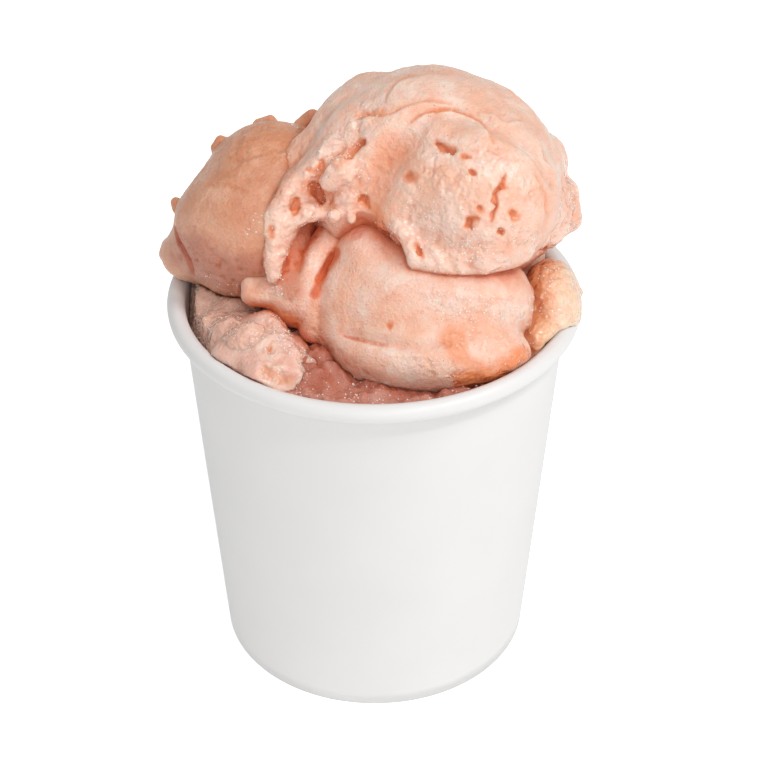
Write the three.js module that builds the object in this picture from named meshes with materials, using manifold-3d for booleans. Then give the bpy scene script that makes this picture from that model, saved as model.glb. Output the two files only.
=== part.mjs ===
// A pint paper cup heaped with sorbet.
//
// Millimetres, +Z up. The origin is the middle of the circle that the cup stands on.
// The cup is two pieces of board: a tapered wall with a rolled rim and a folded hem, and a
// bottom disc whose skirt is caught in the hem. The sorbet is a packed fill with three scoops
// and two loose lumps on it. Each scoop is a blend of round forms with folds carved into it,
// meshed here, and then cut where it rests on its neighbours.

import * as THREE from 'three';
import { mergeVertices } from 'three/addons/utils/BufferGeometryUtils.js';
import Module from 'manifold-3d';

// ---------------------------------------------------------------- driving dimensions

const CUP_HEIGHT = 98;
const RIM_RADIUS = 49; // outside of the rolled rim
const CURL_RADIUS = 2.15; // the roll's own section
const BOARD = 0.5; // thickness of the paper board
const WALL_TOP_RADIUS = 45.4; // outside of the wall, just under the curl
const WALL_FOOT_RADIUS = 38.2; // outside of the wall, where it stands
const HEM_HEIGHT = 7;
const BASE_HEIGHT = 8; // underside of the recessed bottom disc
const TURNS = 48; // flats round the cup
const CURL_START = 196; // degrees round the curl's section, where its inner face leaves the wall
const CURL_END = -150; // where the curl stops, tucked under the rim
const CURL_FLATS = 7; // on the curl's inner face
const RIM_FLATS = 10; // on its outer face

const GAP = 0.3; // kept between pieces that touch
const SWELL = 1.2 * GAP; // how far a piece is swollen before it cuts its neighbours
const FILL_LEVEL = 94.6; // mean height of the packed fill
const BED_LEVEL = 92; // flat undersides of the scoops, pressed into the fill
const FILL_RINGS = 8;
const CRUMB_HEIGHT = 1.1; // unevenness of the fill's top
const CRUMB_TURNS = [0.31, 0.37, 0.63, -0.4]; // radians of its waves for each millimetre
const BANK_HEIGHT = 11; // how far the fill is banked up behind the scoops
const BANK_FROM = -8; // the bank rises from this y to the next
const BANK_TO = 22;
const BANK_FALL = 4; // the higher, the nearer the rim the bank starts to fall
const HEAP_FALL = 8; // likewise for the heaps
const HEAPS = [
  { x: -36, y: -3, wide: 12, deep: 17, height: 6.6 }, // under the left scoop, up to the wall
  { x: -30, y: -26, wide: 10, deep: 9, height: 8.5 }, // the slope at the left of the front lump
  { x: -11, y: -25, wide: 8, deep: 8, height: 4.2 }, // between that lump and the front roll
  { x: -12, y: -34, wide: 8, deep: 6, height: 2.6 }, // in front of it
];

const SCOOP_CELL = 3.6; // mesh pitch of the scoops
const LUMP_CELL = 3;
const TAKEN_IN = 0.05; // share of the pitch by which a mended corner lies inside
const WELD = 0.01; // corners nearer than this, which cuts leave, are made one
const REACHED = 0.02; // a sight line has met a form when it is this near
const STRIDE = 0.8; // share of the distance to a form that each step along a sight line takes
const MOST_STEPS = 200;
const FOLD_FADE = 0.3; // share of a fold's width that is left at its ends

// The heap is laid out from one point in front of and above it. A place on it is given by
// three numbers: x to the right and v up in a plane through the rim's middle, square to the
// line from that point, and w along the sight line, towards the point.
const EYE = new THREE.Vector3(2.28, -431.2, 380);
const LEAN = THREE.MathUtils.degToRad(35.69);
const RIM_CENTRE = new THREE.Vector3(0, 0, CUP_HEIGHT);

const RIGHT = new THREE.Vector3(1, 0, 0);
const UP = new THREE.Vector3(0, Math.sin(LEAN), Math.cos(LEAN));
const OUT = new THREE.Vector3(0, -Math.cos(LEAN), Math.sin(LEAN));
const EYE_DISTANCE = EYE.clone().sub(RIM_CENTRE).dot(OUT);

// ---------------------------------------------------------------- layout

/** The point x right, v up and w out of the heap's plane. */
function place(x, v, w = 0) {
  const onPlane = RIM_CENTRE.clone().addScaledVector(RIGHT, x).addScaledVector(UP, v);
  return onPlane.lerp(EYE, w / EYE_DISTANCE);
}

const smoothUnion = (a, b, blend) => {
  const h = THREE.MathUtils.clamp(0.5 + (0.5 * (b - a)) / blend, 0, 1);
  return b + (a - b) * h - blend * h * (1 - h);
};

const smoothCut = (a, cutter, blend) => -smoothUnion(-a, cutter, blend);

// ---------------------------------------------------------------- forms
// A form has at(p), its signed distance from p, and a box that holds it.

/** An ellipsoid at [x, v, w] with its radii along the layout's axes. */
function ball(centre, radii) {
  const middle = place(...centre);
  const reach = Math.max(...radii);
  const d = new THREE.Vector3();
  return {
    box: new THREE.Box3().setFromCenterAndSize(middle, new THREE.Vector3().setScalar(2 * reach)),
    at(p) {
      d.subVectors(p, middle);
      const along = [d.dot(RIGHT), d.dot(UP), d.dot(OUT)];
      const scaled = Math.hypot(...along.map((a, i) => a / radii[i]));
      const slope = Math.hypot(...along.map((a, i) => a / radii[i] ** 2));
      return (scaled * (scaled - 1)) / (slope + 1e-9);
    },
  };
}

/** A round-ended rope through points, with a radius at each. */
function ropeThrough(points, radii) {
  const box = new THREE.Box3().setFromPoints(points).expandByScalar(Math.max(...radii));
  const onLine = new THREE.Vector3();
  const lines = points.slice(1).map((end, i) => new THREE.Line3(points[i], end));
  return {
    box,
    at(p) {
      let nearest = Infinity;
      lines.forEach((line, i) => {
        const t = line.closestPointToPointParameter(p, true);
        line.at(t, onLine);
        const radius = THREE.MathUtils.lerp(radii[i], radii[i + 1], t);
        nearest = Math.min(nearest, onLine.distanceTo(p) - radius);
      });
      return nearest;
    },
  };
}

const rope = (places, radii) => ropeThrough(places.map((q) => place(...q)), radii);

/** Several forms run together, with fillets of the size of blend. */
function joined(forms, blend) {
  const box = new THREE.Box3();
  forms.forEach((form) => box.union(form.box));
  return {
    box,
    at: (p) => forms.map((form) => form.at(p)).reduce((a, b) => smoothUnion(a, b, blend)),
  };
}

/** A form with other forms cut out of it. */
function carved(form, cutters, blend) {
  return {
    box: form.box,
    at: (p) => cutters.reduce((d, cutter) => smoothCut(d, cutter.at(p), blend), form.at(p)),
  };
}

/** Where the sight line through x, v first meets a form, and which way the form faces there. */
function meet(form, x, v) {
  const along = place(x, v).sub(EYE).normalize();
  const point = EYE.clone().addScaledVector(along, EYE_DISTANCE - 2 * RIM_RADIUS);
  for (let step = 0; step < MOST_STEPS; step += 1) {
    const distance = form.at(point);
    if (distance < REACHED) break;
    point.addScaledVector(along, STRIDE * distance);
  }
  const slope = ['x', 'y', 'z'].map((axis) => {
    const ahead = point.clone();
    const behind = point.clone();
    ahead[axis] += GAP;
    behind[axis] -= GAP;
    return form.at(ahead) - form.at(behind);
  });
  return { point, normal: new THREE.Vector3(...slope).normalize() };
}

/**
 * The cutter for a fold in a form's surface: it runs through path, a list of [x, v], and is
 * at most width wide and depth deep, running out at both ends.
 */
function fold(form, path, width, depth, steps = 3 * path.length) {
  const line = new THREE.CatmullRomCurve3(path.map(([x, v]) => new THREE.Vector3(x, v, 0)));
  const points = [];
  const radii = [];
  for (let i = 0; i <= steps; i += 1) {
    const along = i / steps;
    const fade = Math.max(FOLD_FADE, Math.sqrt(4 * along * (1 - along)));
    const at = line.getPoint(along);
    const { point, normal } = meet(form, at.x, at.y);
    const half = 0.5 * width * fade;
    const deep = depth * fade;
    const radius = (half * half + deep * deep) / (2 * deep);
    points.push(point.addScaledVector(normal, radius - deep));
    radii.push(radius);
  }
  return ropeThrough(points, radii);
}

/** A form with folds cut into it: each fold is [path, width, depth]. */
const folded = (form, folds, blend) =>
  carved(form, folds.map(([path, width, depth]) => fold(form, path, width, depth)), blend);

// ---------------------------------------------------------------- the sorbet's forms

/** The big upper scoop: its nose in front, the torn ridge and its drip on the left. */
function upperScoop() {
  const mass = joined(
    [
      ball([14, 24.3, 9.5], [30, 27, 25]),
      ball([10, 9, -12], [31, 18, 21]),
      ball([12, 16, -2], [28, 20, 22]),
      ball([24.5, 22, 21.5], [18.3, 18, 19]),
      ball([-2.5, 35, 7], [11, 14, 12]),
      ball([38.8, 17, 8], [8, 8, 9]),
      ball([45, 22.6, 5], [3.3, 3, 4]),
      ball([46.4, 16.8, 5], [2.6, 2.7, 3]),
      ball([41.3, 30.5, 5], [4.2, 5.2, 5]),
      ball([12, 42, 6], [13, 10.3, 12]),
      ball([-1, 46.8, 4], [5, 4.4, 5]),
      rope([[-22.5, 16, 18.5], [-19, 21, 18.5], [-13, 27, 19.5], [-5, 36, 19]], [4.3, 5, 5.5, 6.5]),
      rope([[-23.3, 15, 20], [-23.6, 9, 20.5], [-23.8, 3, 21]], [4.3, 3.4, 2.4]),
      rope([[-24, 20.5, 11], [-20, 27.5, 11.5], [-14.5, 33, 12], [-8.5, 40, 11]], [5, 5.3, 4.8, 4.2]),
      rope(
        [[7, 12, 30], [10, 7.5, 30], [16, 6.5, 31], [26, 7, 31], [34, 8.5, 27]],
        [3, 3.4, 3.2, 3, 2.5],
      ),
    ],
    3.5,
  );
  const hollowed = carved(mass, [ball([-5.5, 5.5, 30], [12.5, 10.8, 13])], 1.5);
  return folded(
    hollowed,
    [
      [[[-3, 14], [-2, 20], [1, 26], [5, 32], [10, 36]], 10, 3.2],
      [[[2, 34], [8, 38.5], [16, 41.5], [24, 40], [30, 37.5], [37, 33], [42, 25]], 5, 1.3],
    ],
    2.6,
  );
}

/** The left scoop, with the lobe over the rim and the notch that the front roll lies in. */
function leftScoop() {
  const body = joined(
    [
      ball([-26.5, 14, 3], [21, 17.5, 21]),
      ball([-24, 23, 0], [17, 16.5, 18]),
      ball([-41.5, 8.5, -3], [8.8, 7.5, 9]),
    ],
    3,
  );
  return carved(body, [ball([-13.5, 7, 20], [7.5, 12, 9])], 2);
}

/** The scoop rolled up against the front rim: roll, crescent with its groove, and shelf. */
function frontScoop() {
  const roll = joined(
    [
      ball([12, -3.5, 15], [25, 17, 18]),
      ball([13.5, -15, 22], [22.5, 9.5, 12.5]),
      ball([-1, 5, 16], [9.2, 11, 12]),
      ball([-5, -9.6, 17.5], [9, 8, 9]),
      ball([-5, -2, 16.5], [8.6, 9, 10.3]),
    ],
    2.5,
  );
  const crescent = rope(
    [
      [-4.5, 15.5, 15],
      [-10.8, 12, 17.2],
      [-14.4, 6.7, 18.8],
      [-15.5, 2, 19.4],
      [-16, -3, 19.3],
      [-13.8, -9, 18.3],
    ],
    [3.5, 3.4, 3, 3, 3.6, 4],
  );
  const groove = rope([[-9, 10, 14.5], [-11.5, 5, 15.8], [-13, 0, 16.5]], [3.6, 3.6, 3.6]);
  const shelf = joined(
    [
      rope(
        [[-28.7, 2.4, 15.6], [-28.8, -1.4, 16.2], [-21, -1.6, 17.2], [-14, -3, 17.5]],
        [2.7, 2.7, 3.2, 5],
      ),
      rope([[-25.5, 1.6, 14], [-20, 1, 16.3], [-14, -2, 17]], [4.2, 5, 6]),
      rope([[-18, 17, 12], [-20, 9, 13.5], [-18, -3, 16]], [5, 5.5, 6.3]),
    ],
    2,
  );
  const crease = [[-8, -10.5], [0, -12], [8, -13.5], [18, -13]];
  return folded(joined([roll, crescent, shelf, groove], 0.8), [[crease, 3.2, 1.3]], 1);
}

/** The broken lump at the front left: two ridges from its peak to the rim, a slope, rubble. */
function leftLump() {
  const wedge = joined(
    [
      rope([[-25.8, -9.2, 17], [-27.4, -15, 21], [-26.4, -22, 26]], [3.2, 4.2, 4.8]),
      rope([[-24.8, -9.4, 17], [-21.6, -14.5, 21], [-20.6, -21.5, 26]], [3, 4, 4.6]),
      rope([[-31, -11.5, 13], [-33.5, -17.5, 19.6]], [5, 5.6]),
    ],
    4.2,
  );
  const rubble = rope(
    [[-19, -13.5, 18], [-16.3, -18, 22], [-14.4, -22.6, 25.6]],
    [2.6, 3, 3],
  );
  return joined([wedge, rubble], 1);
}

/** The half-melted lump that rests on the rim at the right. */
const rightLump = () =>
  joined([ball([41.4, -4.5, 7], [7.6, 11.3, 9.5]), ball([38.4, -12.6, 10.5], [5.6, 6, 8])], 3);

// ---------------------------------------------------------------- meshing

/** A closed mesh of a form's surface, on a grid of pitch cell. */
function netOf(form, cell) {
  const box = form.box.clone().expandByScalar(1.5 * cell);
  const count = box.getSize(new THREE.Vector3()).divideScalar(cell).ceil().addScalar(1);
  const [nx, ny, nz] = count.toArray();
  const index = (i, j, k) => i + nx * (j + ny * k);
  const corner = (i, j, k) => new THREE.Vector3(i, j, k).multiplyScalar(cell).add(box.min);
  const distance = new Float64Array(nx * ny * nz);
  for (let k = 0; k < nz; k += 1) {
    for (let j = 0; j < ny; j += 1) {
      for (let i = 0; i < nx; i += 1) distance[index(i, j, k)] = form.at(corner(i, j, k));
    }
  }
  const edges = [[1, 0, 0], [0, 1, 0], [0, 0, 1]];
  // Where the inside touches itself across a face's diagonal, the nearer of the other two
  // corners is taken in, so that no edge of the mesh has four faces.
  for (let mended = true; mended; ) {
    mended = false;
    for (let k = 0; k < nz - 1; k += 1) {
      for (let j = 0; j < ny - 1; j += 1) {
        for (let i = 0; i < nx - 1; i += 1) {
          [[0, 1], [1, 2], [2, 0]].forEach(([a, b]) => {
            const square = [[0, 0], [1, 0], [1, 1], [0, 1]].map(([s, t]) =>
              index(...[i, j, k].map((c, at) => c + s * edges[a][at] + t * edges[b][at])),
            );
            const [w, x, y, z] = square.map((at) => distance[at] < 0);
            if (w !== y || x !== z || w === x) return;
            const outside = square.filter((at) => distance[at] >= 0);
            const nearer = outside.reduce((p, q) => (distance[p] < distance[q] ? p : q));
            distance[nearer] = -TAKEN_IN * cell;
            mended = true;
          });
        }
      }
    }
  }
  const positions = [];
  const vertexOf = new Map();
  const vertex = (i, j, k) => {
    const key = index(i, j, k);
    if (!vertexOf.has(key)) {
      const mean = new THREE.Vector3();
      let crossings = 0;
      edges.forEach((step, axis) => {
        const [a, b] = edges.filter((_, other) => other !== axis);
        [[0, 0], [1, 0], [0, 1], [1, 1]].forEach(([s, t]) => {
          const from = [0, 1, 2].map((c) => [i, j, k][c] + s * a[c] + t * b[c]);
          const to = from.map((c, at) => c + step[at]);
          const d0 = distance[index(...from)];
          const d1 = distance[index(...to)];
          if (d0 < 0 === d1 < 0) return;
          mean.add(corner(...from).lerp(corner(...to), d0 / (d0 - d1)));
          crossings += 1;
        });
      });
      vertexOf.set(key, positions.length / 3);
      positions.push(...mean.divideScalar(crossings).toArray());
    }
    return vertexOf.get(key);
  };
  const faces = [];
  for (let k = 1; k < nz - 1; k += 1) {
    for (let j = 1; j < ny - 1; j += 1) {
      for (let i = 1; i < nx - 1; i += 1) {
        edges.forEach((step, axis) => {
          const inside = distance[index(i, j, k)] < 0;
          if (inside === distance[index(i + step[0], j + step[1], k + step[2])] < 0) return;
          const a = edges[(axis + 1) % 3];
          const b = edges[(axis + 2) % 3];
          const ring = [[1, 1], [0, 1], [0, 0], [1, 0]].map(([s, t]) =>
            vertex(...[i, j, k].map((c, at) => c - s * a[at] - t * b[at])),
          );
          if (!inside) ring.reverse();
          faces.push(ring[0], ring[1], ring[2], ring[0], ring[2], ring[3]);
        });
      }
    }
  }
  const geometry = new THREE.BufferGeometry();
  geometry.setAttribute('position', new THREE.Float32BufferAttribute(positions, 3));
  geometry.setIndex(faces);
  geometry.computeVertexNormals();
  return geometry;
}

/** A copy of a geometry with its surface moved out by distance. */
function swollen(geometry, distance) {
  const copy = geometry.clone();
  const { position, normal } = copy.attributes;
  const point = new THREE.Vector3();
  const out = new THREE.Vector3();
  for (let i = 0; i < position.count; i += 1) {
    point.fromBufferAttribute(position, i);
    out.fromBufferAttribute(normal, i);
    position.setXYZ(i, ...point.addScaledVector(out, distance).toArray());
  }
  return copy;
}

// ---------------------------------------------------------------- solids

const wasm = await Module();
wasm.setup();

/** A closed geometry as a solid that can be joined and cut. */
function solidOf(geometry) {
  geometry.deleteAttribute('normal');
  geometry.deleteAttribute('uv');
  const merged = mergeVertices(geometry);
  const corners = merged.index.array;
  const faces = [];
  for (let i = 0; i < corners.length; i += 3) {
    const [a, b, c] = corners.subarray(i, i + 3);
    if (a !== b && b !== c && c !== a) faces.push(a, b, c);
  }
  return new wasm.Manifold(
    new wasm.Mesh({
      numProp: 3,
      vertProperties: new Float32Array(merged.attributes.position.array),
      triVerts: new Uint32Array(faces),
    }),
  );
}

/** The largest connected body of a solid, so that a cut leaves no scraps. */
const mainBody = (solid) => solid.decompose().sort((a, b) => b.volume() - a.volume())[0];

/**
 * A solid's surface with its corners on a grid of pitch WELD. Slivers that close up go, and so
 * do two faces that end back to back on the same three corners.
 */
function surfaceOf(solid) {
  const { vertProperties, triVerts } = solid.getMesh();
  const positions = [];
  const cornerAt = new Map();
  const corner = (vertex) => {
    const at = vertProperties.subarray(3 * vertex, 3 * vertex + 3);
    const steps = [...at].map((c) => Math.round(c / WELD));
    const key = steps.join();
    if (!cornerAt.has(key)) {
      cornerAt.set(key, positions.length / 3);
      positions.push(...steps.map((n) => n * WELD));
    }
    return cornerAt.get(key);
  };
  const faces = new Map();
  for (let i = 0; i < triVerts.length; i += 3) {
    const face = [...triVerts.subarray(i, i + 3)].map(corner);
    if (new Set(face).size < 3) continue;
    const key = face.toSorted((a, b) => a - b).join();
    if (!faces.delete(key)) faces.set(key, face);
  }
  const geometry = new THREE.BufferGeometry();
  geometry.setAttribute('position', new THREE.Float32BufferAttribute(positions, 3));
  geometry.setIndex([...faces.values()].flat());
  geometry.computeVertexNormals();
  return geometry;
}

/** A named mesh of a solid. */
function meshOf(name, solid, material) {
  const mesh = new THREE.Mesh(surfaceOf(solid), material);
  mesh.name = name;
  return mesh;
}

/** A solid of revolution about Z from a profile of [radius, height]. */
function turned(profile) {
  const points = profile.map(([r, z]) => new THREE.Vector2(r, z));
  return solidOf(new THREE.LatheGeometry(points, TURNS).rotateX(Math.PI / 2));
}

// ---------------------------------------------------------------- the cup

const WALL_HEIGHT = CUP_HEIGHT - CURL_RADIUS; // the curl's middle
const CURL_CENTRE = RIM_RADIUS - CURL_RADIUS;

/** The wall's outer radius at height z. */
const wallRadius = (z) =>
  THREE.MathUtils.mapLinear(z, 0, CUP_HEIGHT - 2 * CURL_RADIUS, WALL_FOOT_RADIUS, WALL_TOP_RADIUS);

/** Points of an arc in the profile's plane, from one angle in degrees to another. */
function arc(r, z, radius, from, to, steps) {
  return Array.from({ length: steps + 1 }, (_, i) => {
    const angle = THREE.MathUtils.degToRad(THREE.MathUtils.lerp(from, to, i / steps));
    return [r + radius * Math.cos(angle), z + radius * Math.sin(angle)];
  });
}

/** The wall: hem folded in and up round the base's skirt, and rim rolled out and down. */
function cupWall() {
  const slot = 2 * GAP + BOARD;
  const offsetAt = (z, inwards) => [wallRadius(z) - inwards, z];
  const inner = CURL_RADIUS - BOARD;
  const profile = [
    offsetAt(0, 0),
    offsetAt(CUP_HEIGHT - 2 * CURL_RADIUS - GAP, 0),
    ...arc(CURL_CENTRE, WALL_HEIGHT, inner, CURL_START, CURL_END, CURL_FLATS),
    ...arc(CURL_CENTRE, WALL_HEIGHT, CURL_RADIUS, CURL_END, 180, RIM_FLATS),
    offsetAt(CUP_HEIGHT - 2 * CURL_RADIUS, BOARD),
    offsetAt(BOARD, BOARD),
    offsetAt(BOARD, BOARD + slot),
    offsetAt(HEM_HEIGHT, BOARD + slot),
    offsetAt(HEM_HEIGHT, 2 * BOARD + slot),
    offsetAt(0, 2 * BOARD + slot),
    offsetAt(0, 0),
  ];
  return turned(profile);
}

/** The bottom disc, set up inside the wall, with its skirt turned down into the hem. */
function cupBase() {
  const top = BASE_HEIGHT + BOARD;
  const foot = BOARD + GAP;
  const outside = (z) => [wallRadius(z) - BOARD - GAP, z];
  const inside = (z) => [wallRadius(z) - 2 * BOARD - GAP, z];
  return turned([
    [0, BASE_HEIGHT],
    inside(BASE_HEIGHT),
    inside(foot),
    outside(foot),
    outside(top),
    [0, top],
  ]);
}

/** All that the heap keeps out of: below level, beyond the cup's inner face, and the curl. */
function bed(level) {
  const beyond = 2 * RIM_RADIUS;
  const face = (z) => [wallRadius(z) - BOARD - GAP, z];
  return turned([
    [0, -BASE_HEIGHT],
    [beyond, -BASE_HEIGHT],
    [beyond, WALL_HEIGHT],
    ...arc(CURL_CENTRE, WALL_HEIGHT, CURL_RADIUS + GAP, 0, 180, RIM_FLATS),
    face(WALL_HEIGHT - CURL_RADIUS),
    face(level),
    [0, level],
  ]);
}

// ---------------------------------------------------------------- the fill

/** Height of the fill's crumbly top: low in front, heaped at the left and banked up behind. */
function fillTop(x, y) {
  const [a, b, c, d] = CRUMB_TURNS;
  const crumbs = Math.sin(a * x + 1) * Math.cos(b * y) + 0.5 * Math.sin(c * y + d * x);
  const inwards = (power) => Math.max(0, 1 - (Math.hypot(x, y) / CURL_CENTRE) ** power);
  const bank = BANK_HEIGHT * inwards(BANK_FALL) * THREE.MathUtils.smoothstep(y, BANK_FROM, BANK_TO);
  const heaped = HEAPS.reduce((sum, heap) => {
    const off = Math.hypot((x - heap.x) / heap.wide, (y - heap.y) / heap.deep);
    return sum + heap.height * inwards(HEAP_FALL) * Math.exp(-(off ** 2));
  }, 0);
  return FILL_LEVEL + CRUMB_HEIGHT * crumbs + bank + heaped;
}

/** The packed fill, from the base's disc to its uneven top. */
function fillBody() {
  const floor = BASE_HEIGHT + BOARD + GAP;
  const edge = CURL_CENTRE - CURL_RADIUS - GAP;
  const rings = Array.from({ length: FILL_RINGS + 1 }, (_, i) => edge * (1 - i / FILL_RINGS));
  const points = [
    new THREE.Vector2(0, floor),
    new THREE.Vector2(wallRadius(floor) - BOARD - GAP, floor),
    ...rings.map((r) => new THREE.Vector2(r, FILL_LEVEL)),
  ];
  const geometry = new THREE.LatheGeometry(points, TURNS).rotateX(Math.PI / 2);
  const { position } = geometry.attributes;
  for (let i = 0; i < position.count; i += 1) {
    if (position.getZ(i) > BED_LEVEL) position.setZ(i, fillTop(position.getX(i), position.getY(i)));
  }
  return solidOf(geometry);
}

// ---------------------------------------------------------------- the whole

const board = { color: 0xf4f4f4, roughness: 0.55, metalness: 0 };
const upper = { color: 0xf0c8b4, roughness: 0.35, metalness: 0 };
const shaded = { color: 0xdba592, roughness: 0.42, metalness: 0 };
const icy = { color: 0xf2bd96, roughness: 0.25, metalness: 0 };

const part = new THREE.Group();
part.name = 'sorbet_cup';
part.add(meshOf('cup_wall', cupWall(), new THREE.MeshStandardMaterial(board)));
part.add(meshOf('cup_base', cupBase(), new THREE.MeshStandardMaterial(board)));

// Each piece keeps its form where it was laid first, and the later ones are cut to it.
const laid = [
  ['scoop_top', upperScoop(), SCOOP_CELL, upper],
  ['scoop_left', leftScoop(), SCOOP_CELL, shaded],
  ['scoop_front', frontScoop(), SCOOP_CELL, upper],
  ['lump_front_left', leftLump(), LUMP_CELL, upper],
  ['lump_right', rightLump(), LUMP_CELL, icy],
];
let filled = bed(BED_LEVEL);
let imprint = null;
laid.forEach(([name, form, cell, finish]) => {
  const net = netOf(form, cell);
  const swell = solidOf(swollen(net, SWELL));
  const solid = mainBody(solidOf(net).subtract(filled));
  part.add(meshOf(name, solid, new THREE.MeshStandardMaterial(finish)));
  filled = filled.add(swell);
  imprint = imprint ? imprint.add(swell) : swell;
});
const fill = fillBody().subtract(imprint.subtract(bed(BED_LEVEL - GAP)));
part.add(meshOf('sorbet_fill', mainBody(fill), new THREE.MeshStandardMaterial(shaded)));

export default part;
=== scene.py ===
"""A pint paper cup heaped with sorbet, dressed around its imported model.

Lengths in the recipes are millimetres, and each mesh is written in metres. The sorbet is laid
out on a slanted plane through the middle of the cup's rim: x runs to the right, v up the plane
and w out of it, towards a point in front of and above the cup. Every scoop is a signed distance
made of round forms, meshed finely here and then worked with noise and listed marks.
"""
from __future__ import annotations

import logging
import math
from abc import ABC, abstractmethod
from collections.abc import Callable, Sequence
from dataclasses import dataclass, field
from enum import StrEnum
from functools import cached_property, partial, reduce

import bmesh
import bpy
import numpy as np
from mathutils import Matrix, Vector

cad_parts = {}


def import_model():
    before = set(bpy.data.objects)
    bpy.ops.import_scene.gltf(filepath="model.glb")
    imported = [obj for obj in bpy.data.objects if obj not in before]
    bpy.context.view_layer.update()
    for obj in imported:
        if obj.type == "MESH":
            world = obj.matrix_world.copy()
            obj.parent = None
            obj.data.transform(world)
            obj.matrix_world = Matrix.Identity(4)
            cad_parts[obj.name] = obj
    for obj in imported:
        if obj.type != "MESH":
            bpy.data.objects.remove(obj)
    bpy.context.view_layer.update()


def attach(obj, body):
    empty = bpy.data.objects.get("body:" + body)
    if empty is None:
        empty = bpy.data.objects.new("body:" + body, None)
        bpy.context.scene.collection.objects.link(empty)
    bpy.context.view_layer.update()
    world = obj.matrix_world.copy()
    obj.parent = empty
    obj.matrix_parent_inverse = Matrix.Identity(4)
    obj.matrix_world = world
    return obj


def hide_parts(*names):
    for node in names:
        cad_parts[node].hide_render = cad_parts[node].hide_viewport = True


LOG = logging.getLogger("sorbet_cup")
MM = 0.001
TINY = 1e-12
Points = np.ndarray
Piece = bpy.types.Object
Socket = bpy.types.NodeSocket
Triple = tuple[float, float, float]
Profile = list[tuple[float, float]]
Path = Sequence[tuple[float, float]]


class Shade(StrEnum):
    """What the sorbet's surface can be at a place, each kept as an attribute from 0 to 1."""

    TORN = "torn"  # broken open: ragged, icy and wet
    MELT = "melt"  # syrup at the surface
    FROST = "frost"  # loose ice grains
    DUSK = "dusk"  # a pitted matt crust, and a darker colour there that is painted shade
    WET = "wet"  # a glossy film in ripples
    HOLLOW = "hollow"  # a dip, crease or hole: its syrup-orange tint is painted shade and painted glow of light through the sorbet
    DEEP = "deep"  # the bottom of a crease, or hard against a neighbour: painted shade


class Slot(StrEnum):
    """The record's material slots for sorbet."""

    SORBET = "sorbet"
    MELTING = "sorbet_melting"


Surface = tuple[Points, Points, dict[Shade, Points]]  # points in the cup's frame, quads and shades


# ---------- the cup's sizes


@dataclass(frozen=True)
class CupSizes:
    """Sizes of the paper cup, in millimetres."""

    height: float = 98.0
    rim_radius: float = 49.0
    curl_radius: float = 2.15
    board: float = 0.5
    wall_top_radius: float = 45.4
    wall_foot_radius: float = 38.2
    hem_height: float = 7.0
    base_height: float = 8.0
    gap: float = 0.3

    @property
    def wall_height(self) -> float:
        """Height of the curl's middle."""
        return self.height - self.curl_radius

    @property
    def curl_centre(self) -> float:
        """Distance of the curl's middle from the cup's axis."""
        return self.rim_radius - self.curl_radius

    def wall_radius(self, z: Points | float) -> Points | float:
        """Outer radius of the wall at height z."""
        share = z / (self.height - 2 * self.curl_radius)
        return self.wall_foot_radius + (self.wall_top_radius - self.wall_foot_radius) * share


CUP = CupSizes()
BED_LEVEL = 92.0  # where every scoop ends, under the top of the fill
FILL_LEVEL = 94.6  # the fill's top before it is worked


# ---------- layout


@dataclass(frozen=True)
class Layout:
    """The slanted plane that the heap is laid out on, and the point it faces."""

    eye: Triple = (2.28, -431.2, 380.0)
    lean: float = math.radians(35.69)

    @cached_property
    def axes(self) -> Points:
        """The directions x, v and w, as rows in the cup's frame."""
        s, c = math.sin(self.lean), math.cos(self.lean)
        return np.array([[1.0, 0.0, 0.0], [0.0, s, c], [0.0, -c, s]])

    @cached_property
    def middle(self) -> Points:
        """The rim's middle, in the cup's frame."""
        return np.array([0.0, 0.0, CUP.height])

    @cached_property
    def slanted_eye(self) -> Points:
        """The eye in slanted coordinates."""
        return self.to_slanted(np.array(self.eye))

    def to_slanted(self, points: Points) -> Points:
        """Turns points of the cup's frame into slanted coordinates."""
        return (points - self.middle) @ self.axes.T

    def to_cup(self, slanted: Points) -> Points:
        """Turns slanted coordinates into points of the cup's frame."""
        return slanted @ self.axes + self.middle

    def place(self, x: float, v: float, w: float = 0.0) -> Points:
        """The slanted coordinates of a place w along the sight line through x, v."""
        on_plane = np.array([x, v, 0.0])
        return on_plane + (self.slanted_eye - on_plane) * (w / self.slanted_eye[2])

    def across(self, slanted: Points) -> Points:
        """Where the sight lines through points cross the plane, as x, v.

        Args:
            slanted: Points in slanted coordinates.

        Returns:
            x and v of each crossing.
        """
        eye = self.slanted_eye
        share = eye[2] / (eye[2] - slanted[:, 2])
        return eye[:2] + (slanted[:, :2] - eye[:2]) * share[:, None]


LAYOUT = Layout()


# ---------- noise


def unit(vectors: Points, least: float = 0.0) -> Points:
    """Vectors brought to length one, and with a least length a vector of none stays as it is."""
    return vectors / (np.linalg.norm(vectors, axis=1, keepdims=True) + least)


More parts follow.
